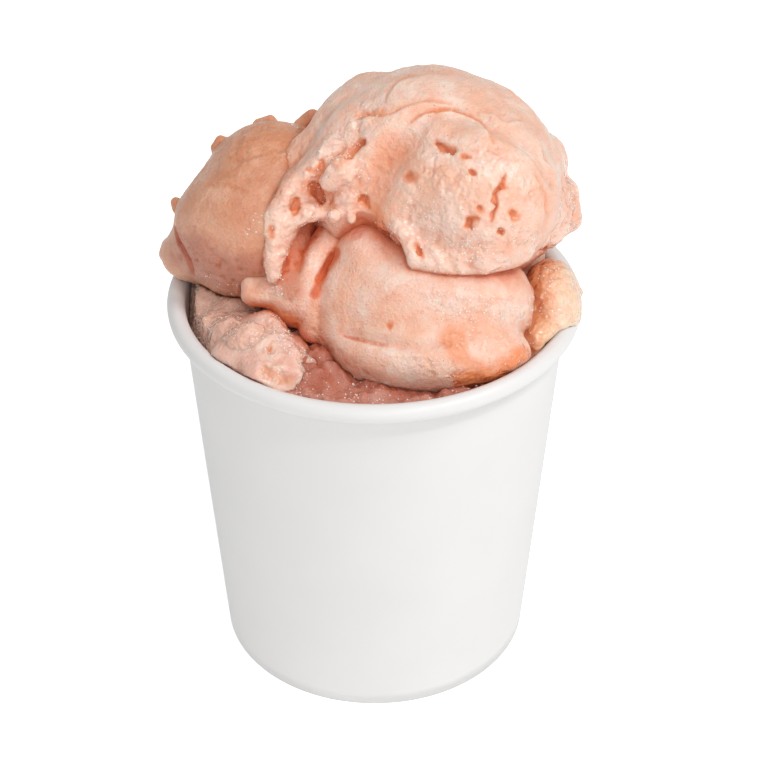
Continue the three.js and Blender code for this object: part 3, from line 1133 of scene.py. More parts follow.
def close_up(piece: Piece, merge: float = 1e-7, collapse: float = 1e-8) -> None:
    """Merges doubled points, drops loose ones and turns the faces outwards.

    Args:
        piece: The object whose mesh is closed.
        merge: How near two points are merged, in metres.
        collapse: How short an edge is taken away.
    """
    work = bmesh.new()
    work.from_mesh(piece.data)
    bmesh.ops.remove_doubles(work, verts=work.verts, dist=merge)
    bmesh.ops.dissolve_degenerate(work, dist=collapse, edges=work.edges)
    loose = [vert for vert in work.verts if not vert.link_faces]
    bmesh.ops.delete(work, geom=loose, context="VERTS")
    bmesh.ops.recalc_face_normals(work, faces=work.faces)
    work.to_mesh(piece.data)
    work.free()


# ---------- finishes


def linear(hex_colour: str) -> tuple[float, float, float, float]:
    """Turns an sRGB hex value into a linear colour with full opacity."""
    channels = [int(hex_colour[i : i + 2], 16) / 255 for i in (0, 2, 4)]
    return (*[c / 12.92 if c <= 0.04045 else ((c + 0.055) / 1.055) ** 2.4 for c in channels], 1.0)


def add_node(
    tree: bpy.types.NodeTree, kind: str, settings: dict | None = None, **inputs: object
) -> bpy.types.Node:
    """Adds a node, with its settings and what its inputs hold or are fed from.

    Args:
        tree: The tree that it goes into.
        kind: The node's type.
        settings: Its properties by name.
        **inputs: Its inputs by name, with _ for a space, or i and a number for an input by place.

    Returns:
        The node.
    """
    node = tree.nodes.new(kind)
    for name, value in (settings or {}).items():
        setattr(node, name, value)
    for name, value in inputs.items():
        numbered = name[0] == "i" and name[1:].isdigit()
        socket = node.inputs[int(name[1:]) if numbered else name.replace("_", " ")]
        if isinstance(value, Socket):
            tree.links.new(value, socket)
        else:
            socket.default_value = value
    return node


def new_material(name: str) -> tuple[bpy.types.Material, bpy.types.NodeTree]:
    """An empty node material, and its tree.

    Args:
        name: The material's name.

    Returns:
        The material and its tree.
    """
    material = bpy.data.materials.new(name)
    material.use_nodes = True
    material.node_tree.nodes.clear()
    return material, material.node_tree


@dataclass(frozen=True)
class SorbetFinish:
    """Fruit sorbet: a mush of fine ice in coloured syrup.

    The ice scatters light, so it is pale where it is dry and lifted, and the syrup shows through
    as a saturated orange where it has melted. The darker and more orange colours in creases, dips
    and holes, against neighbouring pieces and on sides turned from the light are painted shade and
    painted glow of light through the sorbet. A wet place carries a glossy film in ripples, and
    light reaches a few millimetres into the whole.
    """

    name: str
    rime: str
    pale: str
    body: str
    blush: str
    # dusk and deep are painted shade colours; syrup is the melt's own colour, and in hollows painted shade
    # and glow
    dusk: str
    syrup: str
    deep: str
    glow: float = 0.6
    roughness: float = 0.4
    wet_roughness: float = 0.21
    grain_mm: float = 0.5
    cloud_mm: float = 7.0
    patch_mm: float = 3.2
    fleck_mm: float = 1.1
    ripple_mm: float = 1.8
    light_reach_mm: float = 2.6
    light_reach: Triple = (1.0, 0.42, 0.26)
    ice_ior: float = 1.35
    film_ior: float = 1.4

    def material(self) -> bpy.types.Material:
        """Builds the material.

        Returns:
            It reads every shade of the surface as an attribute.
        """
        material, tree = new_material(self.name)
        place = add_node(tree, "ShaderNodeTexCoord").outputs["Object"]

        def shade(name: Shade) -> Socket:
            """An attribute of the surface."""
            return add_node(tree, "ShaderNodeAttribute", {"attribute_name": name.value}).outputs["Fac"]

        def worked(operation: str, a: object, b: object) -> Socket:
            """Two values worked together and kept from 0 to 1."""
            settings = {"operation": operation, "use_clamp": True}
            return add_node(tree, "ShaderNodeMath", settings, i0=a, i1=b).outputs[0]

        def spread(value: Socket, **ends: float) -> Socket:
            """A value spread between other ends."""
            return add_node(tree, "ShaderNodeMapRange", None, Value=value, **ends).outputs[0]

        def noise(size_mm: float, low: float, high: float, detail: float = 3.0) -> Socket:
            """Noise of a size and a number of octaves, spread so that low becomes 0 and high 1."""
            settings = {"Vector": place, "Scale": 1 / (size_mm * MM), "Detail": detail}
            return spread(add_node(tree, "ShaderNodeTexNoise", None, **settings).outputs[0], i1=low, i2=high)

        plus, times = partial(worked, "ADD"), partial(worked, "MULTIPLY")
        grain = noise(self.grain_mm, 0.3, 0.75, 4.0)
        layers = (
            (noise(self.cloud_mm, 0.38, 0.64), 1.0, self.pale),
            (noise(self.patch_mm, 0.5, 0.72), 0.3, self.blush),
            (grain, 0.3, self.pale),
            (noise(self.fleck_mm, 0.58, 0.72), 0.35, self.blush),
            (shade(Shade.TORN), 0.75, self.rime),
            # painted shade: the dusk colour on sides turned from the light, the syrup colour in hollows and
            # the deep colour in creases and against neighbours; melt is the syrup's own colour
            (shade(Shade.DUSK), 0.85, self.dusk),
            (shade(Shade.MELT), 1.0, self.syrup),
            (shade(Shade.HOLLOW), 0.85, self.syrup),
            (shade(Shade.DEEP), 0.85, self.deep),
        )
        colour = linear(self.body)
        for share, most, tint in layers:
            share = share if most == 1 else times(share, most)
            blend = {"i0": share, "i6": colour, "i7": linear(tint)}
            colour = add_node(tree, "ShaderNodeMix", {"data_type": "RGBA"}, **blend).outputs[2]
        open_or_melting = plus(shade(Shade.TORN), shade(Shade.MELT))
        wet = plus(open_or_melting, plus(shade(Shade.FROST), shade(Shade.WET)))
        lattice = {"Vector": place, "Scale": 1 / (1.5 * self.grain_mm * MM)}
        crystal = add_node(tree, "ShaderNodeTexVoronoi", {"feature": "SMOOTH_F1"}, **lattice)
        height = plus(times(grain, 0.6), times(crystal.outputs[0], 0.4))
        calm = plus(spread(wet, i3=0.7, i4=0.22), times(shade(Shade.FROST), 0.4))
        fine = add_node(tree, "ShaderNodeBump", None, Height=height, Distance=0.5 * MM, Strength=calm)
        bump = add_node(
            tree, "ShaderNodeBump", None, Height=noise(self.ripple_mm, 0.3, 0.7, 1.0), Distance=0.6 * MM,
            Strength=plus(0.15, times(wet, 0.7)), Normal=fine.outputs[0],
        )
        surface = add_node(
            tree, "ShaderNodeBsdfPrincipled", {"subsurface_method": "RANDOM_WALK"}, Base_Color=colour,
            Roughness=spread(wet, i3=self.roughness, i4=self.wet_roughness), IOR=self.ice_ior,
            Subsurface_Weight=self.glow, Subsurface_Radius=self.light_reach,
            Subsurface_Scale=self.light_reach_mm * MM, Coat_Weight=spread(wet, i3=0.15, i4=0.9),
            Coat_Roughness=0.07, Coat_IOR=self.film_ior, Normal=bump.outputs[0],
            Coat_Normal=bump.outputs[0],
        )
        add_node(tree, "ShaderNodeOutputMaterial", None, Surface=surface.outputs[0])
        return material


@dataclass(frozen=True)
class BoardFinish:
    """Bleached paperboard, skinned with a thin film: white, satin and faintly fibrous."""

    name: str = "coated_paperboard"
    white: str = "E9E8E7"
    shadowed: str = "E3E2E1"
    roughness: float = 0.46
    fibre_mm: float = 0.9
    cloud_mm: float = 22.0
    stretch: Triple = (1.0, 1.0, 0.35)

    def material(self) -> bpy.types.Material:
        """Builds the material, with fibres drawn coarser than real ones so that they show.

        Returns:
            The material.
        """
        material, tree = new_material(self.name)
        place = add_node(tree, "ShaderNodeTexCoord").outputs["Object"]
        stretched = add_node(tree, "ShaderNodeMapping", None, Vector=place, Scale=self.stretch)
        fibres = {"Vector": stretched.outputs[0], "Scale": 1 / (self.fibre_mm * MM), "Detail": 5.0}
        fibre = add_node(tree, "ShaderNodeTexNoise", None, **fibres)
        clouds = {"Vector": place, "Scale": 1 / (self.cloud_mm * MM), "Detail": 2.0}
        cloud = add_node(tree, "ShaderNodeTexNoise", None, **clouds)
        blend = {"i0": cloud.outputs[0], "i6": linear(self.white), "i7": linear(self.shadowed)}
        tint = add_node(tree, "ShaderNodeMix", {"data_type": "RGBA"}, **blend)
        ends = {"i3": self.roughness - 0.05, "i4": self.roughness + 0.06}
        sheen = add_node(tree, "ShaderNodeMapRange", None, Value=fibre.outputs[0], **ends)
        fuzz = {"Height": fibre.outputs[0], "Distance": 0.04 * MM, "Strength": 0.25}
        bump = add_node(tree, "ShaderNodeBump", None, **fuzz)
        surface = add_node(
            tree, "ShaderNodeBsdfPrincipled", None, Base_Color=tint.outputs[2],
            Roughness=sheen.outputs[0], IOR=1.5, Coat_Weight=0.12, Coat_Roughness=0.3,
            Normal=bump.outputs[0],
        )
        add_node(tree, "ShaderNodeOutputMaterial", None, Surface=surface.outputs[0])
        return material


UPPER_FINISH = SorbetFinish(
    "sorbet_fresh_scooped", rime="F6D0BE", pale="FADACA", body="F4BFA4", blush="EFA588",
    dusk="D2937B", syrup="EC8E57", deep="DA6436",
)
# The left scoop's copy of the sorbet, darker because that scoop lies in shade: its deeper colours are
# painted shade.
SHADED_FINISH = SorbetFinish(
    "sorbet_smoothed_painted_shade", rime="F2CDB8", pale="EBB89C", body="DC9C7B", blush="D2896C", dusk="BF8070",
    syrup="D08250", deep="B9532F",
)
# The fill's colours are darker than the scoops' as painted shade under the roll and the rim.
FILL_FINISH = SorbetFinish(
    "sorbet_packed", rime="F6CDB8", pale="E4B2A1", body="D59C84", blush="CC8A74", dusk="B9796A",
    syrup="C87458", deep="A24A30", glow=0.35,
)
BROKEN_FINISH = SorbetFinish(
    "sorbet_broken", rime="F8D3C2", pale="F4CDBE", body="E9B6A4", blush="DB9C88", dusk="D9AC9C",
    syrup="E89A6A", deep="D0623A",
)
ICY_FINISH = SorbetFinish(
    "sorbet_half_melted", rime="F8D6BE", pale="FADCC6", body="F3C9A8", blush="EDB184",
    dusk="D2937B", syrup="EDA670", deep="C8703C", glow=0.7, roughness=0.25,
)


# ---------- the cup


@dataclass
class PaperCup:
    """The cup: a tapered wall with a rolled rim and a hem, and a recessed bottom disc.

    The curl's angles are in degrees. The wall's lap steps up at the seam, fades out round the
    wall over lap_fade, and ends under the curl from lap_end, a share of the wall's height.
    """

    sizes: CupSizes = CUP
    turns: int = 192
    rows: int = 24
    curl_steps: int = 40
    curl_start: float = 196.0
    curl_end: float = -150.0
    seam_angle: float = math.radians(112)
    seam_step: float = 0.3
    seam_ramp_mm: float = 0.8
    lap_width: float = 9.0
    lap_fade: float = 36.0
    lap_end: float = 0.9
    bend: float = 1.2
    bend_steps: int = 6
    flat_share: float = 0.6

    def arc(self, radius: float, start: float, end: float, steps: int) -> Profile:
        """Points of the curl's section, from one angle in degrees to another.

        Args:
            radius: The arc's radius.
            start: Its first angle, in degrees.
            end: Its last angle.
            steps: Number of flats.

        Returns:
            Points (radius, height).
        """
        angles = np.radians(np.linspace(start, end, steps + 1))
        r, z = self.sizes.curl_centre, self.sizes.wall_height
        return [(r + radius * math.cos(a), z + radius * math.sin(a)) for a in angles]

    def wall(self) -> Piece:
        """The wall, from its hem to its rolled rim.

        Returns:
            The wall.
        """
        s = self.sizes
        top = s.height - 2 * s.curl_radius
        slot = 2 * s.gap + s.board

        def inside(z: float, depth: float) -> tuple[float, float]:
            """A point at height z, at a depth from the wall's outer face."""
            return float(s.wall_radius(z)) - depth, z

        outside = [inside(z, 0) for z in np.linspace(0, top - s.gap, self.rows)]
        profile = [
            *outside,
            *self.arc(s.curl_radius - s.board, self.curl_start, self.curl_end, self.curl_steps),
            *self.arc(s.curl_radius, self.curl_end, 180, self.curl_steps),
            inside(top, s.board),
            inside(s.board, s.board),
            inside(s.board, s.board + slot),
            inside(s.hem_height, s.board + slot),
            inside(s.hem_height, 2 * s.board + slot),
            inside(0, 2 * s.board + slot),
        ]
        angle = np.linspace(0, 2 * math.pi, self.turns, endpoint=False)
        past_seam = (angle - self.seam_angle) * s.wall_foot_radius
        lap = smoothstep(0, self.seam_ramp_mm, past_seam)
        lap = lap * (1 - smoothstep(self.lap_width, self.lap_fade, past_seam))
        proud = np.zeros((len(profile), self.turns))
        fade = 1 - smoothstep(self.lap_end, 1.0, np.linspace(0, 1, self.rows))
        proud[: self.rows] = self.seam_step * fade[:, None] * lap
        return revolved("paper_cup_wall", profile, self.turns, proud)

    def base(self) -> Piece:
        """The bottom disc, with its skirt turned down into the hem.

        Returns:
            The base.
        """
        s = self.sizes
        top, foot = s.base_height + s.board, s.board + s.gap
        flat = self.flat_share * s.wall_foot_radius

        def side(z: float, depth: float) -> tuple[float, float]:
            """A point of the skirt, at a depth from its outer face."""
            return float(s.wall_radius(z)) - s.board - s.gap - depth, z

        r, z, bend = side(top, 0)[0] - self.bend, top - self.bend, self.bend
        angles = np.linspace(0, math.pi / 2, self.bend_steps)
        round_top = [(r + bend * math.sin(a), z + bend * math.cos(a)) for a in angles]
        profile = [
            (0, s.base_height),
            (flat, s.base_height),
            side(s.base_height, s.board),
            side(foot, s.board),
            side(foot, 0),
            *reversed(round_top),
            (flat, top),
            (0, top),
        ]
        return revolved("paper_cup_base", profile, self.turns)

    def build(self, finish: bpy.types.Material) -> list[Piece]:
        """Makes and dresses both pieces.

        Args:
            finish: The board's material.

        Returns:
            The wall and the base.
        """
        pieces = []
        for piece, node in ((self.wall(), "cup_wall"), (self.base(), "cup_base")):
            piece.data.materials.append(finish)
            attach(piece, "root")
            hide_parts(node)
            pieces.append(piece)
        return pieces


# ---------- the sorbet


def pocket(form: Form, path: Path, width: float, depth: float) -> Rope:
    """The cutter for a hole or a crack with steep sides.

    Args:
        form: The form it is cut into.
        path: The hole's run, as x, v, of at least two points.
        width: Its width.
        depth: Its depth, from a fifth of its width up.

    Returns:
        A rope sunk into the surface, at most until three quarters of its radius are under it.
    """
    end_share, swell_share, deepest = 0.45, 0.75, 0.75
    points, facing, swell = traced(form, path)
    radius = 0.5 * width * np.clip(end_share + swell_share * swell, 0, 1)
    return Rope(points - facing * min(depth - 0.5 * width, deepest * 0.5 * width), radius)


@dataclass
class SorbetPiece(ABC):
    """One piece of the heap, from its form to its dressed mesh."""

    HOLE_BLEND = 0.7  # softness of a hole's edge, in millimetres
    HOLE_EDGE = -0.15  # how far inside a hole its painted shade is full
    HOLE_PAINTED_SHADE = ((Shade.HOLLOW, 0.85, 0.8), (Shade.DEEP, 0.3, 0.5))  # shade, most and reach of the painted shade inside holes

    node: str
    finish: SorbetFinish
    slot: Slot = Slot.SORBET
    pitch: Triple = (0.42, 0.42, 0.6)
    calm: float = 1.0
    rough: float = 1.0
    holes: list[Form] = field(default_factory=list)
    zones: tuple[Zone, ...] = ()
    terraces: tuple[Terrace, ...] = ()

    @abstractmethod
    def form(self) -> Form:
        """The piece's own form, and its holes on the way."""

    def pierced(self, form: Form, holes: list[tuple[Path, float, float]]) -> Form:
        """Cuts holes, each given as path, width and depth, and keeps them for the painted shade inside them.
        """
        self.holes = [Holes([pocket(form, *hole) for hole in holes])]
        return Carved(form, self.holes, self.HOLE_BLEND)

    def worked(self, laid: Laid, others: list[Form], seed: int) -> Skin:
        """Meshes the piece as it lies and works its surface.

        Args:
            laid: The piece's trimmed form.
            others: The other pieces' forms.
            seed: Seed of the noise.

        Returns:
            The finished surface.
        """
        skin = SurfaceNet(laid, self.pitch).skin()
        work = Worked(skin, seed)
        work.zones(self.zones)
        if self.holes:
            # painted shade inside the holes: syrup orange and the deep colour
            depth = np.min([hole.distance(skin.q) for hole in self.holes], axis=0)
            for shade, most, reach in self.HOLE_PAINTED_SHADE:
                skin.raise_shade(shade, most * (1 - smoothstep(self.HOLE_EDGE, reach, depth)))
        work.terraces(self.terraces)
        work.relief(self.calm, self.rough)
        work.shade_hollows(others)
        return skin


@dataclass
class UpperScoop(SorbetPiece):
    """The large scoop on top: a dome, the round nose in front of it and a torn ridge at its left."""

    # The swirl's ledges over the dome and down its right side.
    terraces: tuple[Terrace, ...] = (
        Terrace(((19, 50.7), (11.9, 50.5), (7.8, 49.4), (4.3, 47.5), (2.7, 43.5)), 0.9, 5.0),
        Terrace(((19, 43.2), (13.5, 44.2), (8.1, 43.1), (3.7, 41.2), (-4, 40.6)), 1.1, 5.0),
        Terrace(
            ((28, 33), (26.7, 36.9), (23.9, 39.5), (20.8, 41.5), (16.8, 41.8), (11.9, 41), (8, 38.2)),
            1.3, 6.0,
        ),
        Terrace(
            ((44, 25), (43.4, 26.9), (40.8, 29.5), (39, 34.1), (37.5, 37.2),
             (34.9, 39.5), (31.1, 39), (28.5, 41), (25, 42.2)),
            1.1, 5.0,
        ),
        Terrace(((39.5, 13), (40.6, 18), (39.6, 23), (37.2, 28)), 0.6, 4.0),
    )
    # The torn ridge and lip, the wet right cheek and the syrupy valley; the hollows on the ridge, the dusk
    # in the valley and the syrup down the left flank are painted shade.
    zones: tuple[Zone, ...] = (
        Zone(Shade.TORN, ((-23, 2), (-23, 12), (-21, 20), (-14, 27), (-8, 33), (-3, 40)), 8.5),
        Zone(Shade.TORN, ((-18, 17), (-11, 18), (-5, 22), (-5, 29)), 7.5),
        Zone(Shade.TORN, ((3, 12), (7, 14), (12, 10), (18, 6), (28, 6)), 8.5, 0.9),
        Zone(Shade.TORN, ((8, 22), (13, 14), (20, 10), (29, 11), (36, 10)), 8, 0.55),
        Zone(Shade.TORN, ((46, 27), (47, 20), (44, 11)), 7.5, 1.0),
        # painted shade in the ridge's dips
        Zone(Shade.HOLLOW, ((-16, 24), (-12, 21), (-10, 20)), 4.0, 0.55, 0.6),
        Zone(Shade.HOLLOW, ((-9, 30), (-4, 34)), 4.0, 0.5, 0.6),
        Zone(Shade.HOLLOW, ((0, 19), (2, 16)), 4.0, 0.5, 0.6),
        Zone(Shade.WET, ((26, 30), (31, 27), (34, 21), (32, 15)), 12, 1.0),
        Zone(Shade.WET, ((9, 20), (11, 12)), 8, 0.9),
        Zone(Shade.WET, ((14, 28), (20, 24), (24, 16), (20, 10)), 10, 1.0),
        Zone(Shade.FROST, ((-23, 4), (-23.3, 1)), 4, 1.0),
        Zone(Shade.FROST, ((12, 20), (17, 14), (23, 9)), 8, 0.5),
        Zone(Shade.MELT, ((-2, 17), (-2, 22), (1, 28), (4, 33)), 9, 0.38),
        # painted shade down the valley's side
        Zone(Shade.DUSK, ((1, 25), (5, 31), (7, 34)), 6, 0.5),
        # painted shade down the left flank, which faces away from the light
        Zone(Shade.MELT, ((-16, 36), (-20, 30), (-24, 23)), 6, 0.35),
        Zone(Shade.MELT, ((23, 8.5), (31, 10.5), (36, 11)), 4.5, 0.2),
        Zone(Shade.MELT, ((46, 23), (47, 17)), 4, 0.4),
        Zone(Shade.MELT, ((-4, 40.8), (2, 41.8)), 2.2, 0.5),
    )

    def form(self) -> Form:
        """The dome with its nose, ridge, tongue, overhang and the arch torn out below them.

        Returns:
            The piece's form.
        """
        mass = Joined([
            Ball((14, 24.3, 9.5), (30, 27, 25)),
            Ball((10, 9, -12), (31, 18, 21)),
            Ball((12, 16, -2), (28, 20, 22)),
            Ball((24.5, 22, 21.5), (18.3, 18, 19)),
            Ball((-2.5, 35, 7), (11, 14, 12)),
            Ball((38.8, 17, 8), (8, 8, 9)),
            Ball((45, 22.6, 5), (3.3, 3.0, 4)),
            Ball((46.4, 16.8, 5), (2.6, 2.7, 3)),
            Ball((41.3, 30.5, 5), (4.2, 5.2, 5)),
            Ball((12, 42, 6), (13, 10.3, 12)),
            Ball((-1, 46.8, 4), (5, 4.4, 5)),
            Rope.laid(
                [(-22.5, 16, 18.5), (-19, 21, 18.5), (-13, 27, 19.5), (-5, 36, 19)], [4.3, 5, 5.5, 6.5]
            ),
            Rope.laid([(-23.3, 15, 20), (-23.6, 9, 20.5), (-23.8, 3, 21)], [4.3, 3.4, 1.7]),
            Rope.laid(
                [(-24, 20.5, 11), (-20, 27.5, 11.5), (-14.5, 33, 12), (-8.5, 40, 11)],
                [5, 5.3, 4.8, 4.2],
            ),
            Rope.laid(
                [(7, 12, 30), (10, 7.5, 30), (16, 6.5, 31), (26, 7, 31), (34, 8.5, 27)],
                [3, 3.4, 3.2, 3, 2.5],
            ),
        ], 3.5)
        hollowed = Carved(mass, [Ball((-5.5, 5.5, 30), (12.5, 10.8, 13))], 1.5)
        swirled = folded(
            hollowed,
            [
                ([(-3, 14), (-2, 20), (1, 26), (5, 32), (10, 36)], 10, 3.2),
                ([(2, 34), (8, 38.5), (16, 41.5), (24, 40), (30, 37.5), (37, 33), (42, 25)], 5, 1.3),
            ],
            2.6,
        )
        knobs = [
            Rope.laid([(-19.3, 16.2, 22.5), (-16, 17.8, 23), (-12.5, 18, 22)], [2.0, 2.2, 1.6]),
            Rope.laid([(-10.5, 25.5, 27), (-7.5, 28, 28), (-5.5, 29.5, 27.5)], [2.6, 3.2, 2.4]),
            Rope.laid([(-9.5, 17.6, 26.3), (-9.4, 16.9, 26.3)], [1.15, 1.05]),
            Rope.laid([(-5.3, 16.9, 27), (-5.3, 16.2, 27)], [1.1, 1.0]),
            Rope.laid(
                [(-24.2, 17.5, 22), (-20, 23.5, 23.5), (-14, 28.5, 24.5), (-10, 33.5, 25)],
                [2, 2.2, 2.4, 2.4],
            ),
        ]
        lumpy = Joined([swirled, *knobs], 1.3)
        return self.pierced(lumpy, [
            ([(14.4, 34.4), (16.5, 33.5), (18.8, 32.3)], 1.9, 1.3),
            ([(21.2, 31.6), (22.2, 31.1)], 1.3, 0.8),
            ([(22.7, 27.9), (23.3, 27.6)], 1.0, 0.9),
            ([(30.9, 26.8), (30.3, 24.6), (28.4, 22.4), (28.6, 19.5), (27.6, 15.8)], 1.3, 1.3),
            ([(24.3, 19.2), (24.8, 18.4)], 1.1, 0.8),
            ([(23.4, 16.8), (21.8, 14.6)], 1.3, 0.8),
            ([(29.3, 13.8), (30.4, 12.9)], 1.4, 0.9),
            ([(32.4, 17.8), (33.4, 16.6)], 1.8, 0.8),
            ([(-6.9, 31.0), (-4.9, 33), (-2.9, 34.6)], 2.3, 1.4),
            ([(-14.8, 24.0), (-13.6, 22.6), (-12.2, 20.9)], 2.5, 1.7),
            ([(-15.0, 27.8), (-12.2, 29.8)], 2.2, 0.7),
            ([(-19.0, 20.6), (-18.6, 18.2)], 1.9, 0.8),
            ([(9.7, 10.3), (11.1, 8.4)], 1.3, 0.8),
            ([(-2.6, 21.0), (-1.8, 19.4)], 1.6, 0.7),
            ([(7.6, 27.0), (9.6, 26.0)], 2.6, 0.45),
            ([(-24.5, 14.2), (-24.1, 11.8)], 1.3, 0.5),
            ([(38.2, 8.9), (42.6, 9.2)], 1.5, 1.8),
        ])


@dataclass
class LeftScoop(SorbetPiece):
    """The smoothed scoop at the left, which hangs over the rim."""

    # The rough crust under its belly, darkened there with painted shade, its warm crown, and painted shade
    # in the crease of its lobe and down the valley at its right.
    zones: tuple[Zone, ...] = (
        Zone(Shade.TORN, ((-41, 3), (-34, 0), (-28, 0)), 4.0, 0.5),
        Zone(Shade.DUSK, ((-44, 9), (-38, 4), (-30, 2.5), (-24, 3)), 11, 0.85),
        Zone(Shade.MELT, ((-38, 31), (-28, 35), (-18, 37), (-14, 32)), 13, 0.42, 0.6),
        Zone(Shade.MELT, ((-46, 21), (-43, 25)), 5, 0.3, 0.6),
        # painted shade in the lobe's crease
        Zone(Shade.DEEP, ((-47.4, 14), (-46.4, 10.9), (-44, 6.9), (-43, 4)), 2.2, 0.6),
        Zone(Shade.FROST, ((-28, 16), (-30, 14)), 4, 0.5),
        # painted shade down the valley under the arch
        Zone(Shade.MELT, ((-14, 15), (-18, 10), (-19.5, 5), (-19, -1)), 6.0, 0.5),
    )
    # Faint laps on its crown.
    terraces: tuple[Terrace, ...] = (
        Terrace(((-17, 33), (-24, 32), (-30, 30), (-36, 31)), 0.45, 4.0),
        Terrace(((-40, 24), (-34, 24.5), (-29, 22)), 0.35, 4.0),
        Terrace(((-44, 12), (-41, 8), (-36, 5)), 0.5, 4.0),
    )

    def form(self) -> Form:
        """Two balls run together, with the lobe over the rim and the notch that the roll lies in.

        Returns:
            The piece's form.
        """
        body = Joined([
            Ball((-26.5, 14, 3), (21, 17.5, 21)),
            Ball((-24, 23, 0), (17, 16.5, 18)),
            Ball((-41.5, 8.5, -3), (8.8, 7.5, 9)),
        ], 3)
        nubs = [
            Rope.laid([(-48.6, 10.2, -3), (-49.2, 8.6, -3)], [1.3, 1.2]),
            Rope.laid([(-46.8, 18.9, 0), (-46.9, 20.3, 0)], [1.1, 1.2]),
            Rope.laid([(-37.3, 33.4, 0), (-36.3, 35.0, 0)], [1.3, 1.5]),
            Rope.laid([(-27.4, 38.9, -2), (-24.6, 39.7, -2)], [1.2, 1.5]),
            Rope.laid([(-17, 38.6, -2), (-14.5, 40.6, -1)], [2.0, 2.0]),
        ]
        notched = Carved(body, [Ball((-13.5, 7, 20), (7.5, 12, 9))], 2)
        lobed = folded(notched, [([(-47.6, 14.5), (-46.4, 10.9), (-44, 6.9), (-42.8, 3.6)], 2.4, 1.2)], 1.0)
        return Joined([lobed, *nubs], 1.5)


@dataclass
class FrontRoll(SorbetPiece):
    """The smooth roll in front, curled over by the spoon, with folds at its left end."""

    # Frosted crowns and the half-melted corner at the right, and painted shade in the slot and groove at its
    # left end, along its crease, under the shelf and along its lower left side.
    zones: tuple[Zone, ...] = (
        Zone(Shade.FROST, ((15, -3), (22, -4), (31, -5)), 8),
        Zone(Shade.FROST, ((10, -17.5), (15, -19), (19, -20.5)), 5),
        Zone(Shade.FROST, ((-23.5, 0.8), (-22.8, -1)), 4),
        Zone(Shade.MELT, ((18.5, -11), (20, -16), (25, -20)), 6, 0.65),
        Zone(Shade.MELT, ((21, -22), (29, -21), (35, -16.5)), 7, 0.95),
        Zone(Shade.MELT, ((24, -10), (31, -13)), 9, 0.2),
        # painted shade, down to the torn patch below
        Zone(Shade.DEEP, ((20, -24), (28, -22.5), (35, -18)), 3.5, 0.3),
        Zone(Shade.DEEP, ((-9, 8.8), (-11.2, 5.4), (-12.9, 2.2), (-14.0, -1.2)), 2.4, 1.0),
        Zone(Shade.DEEP, ((-7.2, -11.2), (-4, -11.9)), 0.9, 0.6),
        Zone(Shade.HOLLOW, ((-13.8, -0.8), (-14.2, -4)), 2.4, 0.5),
        Zone(Shade.DEEP, ((-15.7, 12.4), (-18.6, 6.7), (-20.4, 1.5)), 3.6, 0.2),
        Zone(Shade.HOLLOW, ((-29, -4.4), (-24, -5.4), (-18, -8.2)), 2.6, 0.5),
        Zone(Shade.DUSK, ((-14, 14), (-18, 9), (-19.8, 3), (-20, -1)), 6.0, 1.0),
        Zone(Shade.DUSK, ((-31, -4), (-24, -5), (-16, -8), (-10, -15), (0, -21)), 4.5, 0.6),
        Zone(Shade.TORN, ((25, -12), (31, -14), (36, -11), (38, -4)), 8.5, 0.42),
    )
    # The edge of its right end.
    terraces: tuple[Terrace, ...] = (
        Terrace(((41, 6.3), (41.8, -2.7), (40, -10), (38, -15)), 0.8, 4.0),
    )

    def form(self) -> Form:
        """The roll with its long crease, the crescent lying against its left end, and the shelf.

        Returns:
            The piece's form.
        """
        roll = Joined([
            Ball((12, -3.5, 15), (25, 17, 18)),
            Ball((13.5, -15, 22), (22.5, 9.5, 12.5)),
            Ball((-1, 5, 16), (9.2, 11, 12)),
            Ball((-5, -9.6, 17.5), (9, 8, 9)),
            Ball((-5, -2, 16.5), (8.6, 9, 10.3)),
        ], 2.5)
        crescent = Rope.laid(
            [
                (-4.5, 15.5, 15),
                (-10.8, 12, 17.2),
                (-14.4, 6.7, 18.8),
                (-15.5, 2, 19.4),
                (-16, -3, 19.3),
                (-13.8, -9, 18.3),
            ],
            [3.5, 3.4, 3.0, 3.0, 3.6, 4.0],
        )
        groove = Rope.laid([(-9, 10, 14.5), (-11.5, 5, 15.8), (-13, 0, 16.5)], [3.6, 3.6, 3.6])
        shelf = Joined([
            Rope.laid(
                [(-28.7, 2.4, 15.6), (-28.8, -1.4, 16.2), (-21, -1.6, 17.2), (-14, -3, 17.5)],
                [2.7, 2.7, 3.2, 5],
            ),
            Rope.laid([(-25.5, 1.6, 14), (-20, 1, 16.3), (-14, -2, 17)], [4.2, 5.0, 6.0]),
            Rope.laid([(-18, 17, 12), (-20, 9, 13.5), (-18, -3, 16)], [5, 5.5, 6.3]),
        ], 2.0)
        crease = [(-8, -10.5), (0, -12), (8, -13.5), (18, -13)]
        line = [(-7.4, -11.2), (-4, -11.9), (0, -12.8), (3, -13.3)]
        creased = folded(Joined([roll, crescent, shelf, groove], 0.8), [(crease, 3.2, 1.3)], 1)
        creased = folded(creased, [(line, 1.0, 0.6)], 0.3)
        return self.pierced(creased, [
            ([(-9.2, 8.6), (-11.4, 5.0), (-13.3, 1.2)], 1.5, 0.6),
            ([(3.6, -8.6), (4.0, -8.8)], 0.9, 0.4),
        ])


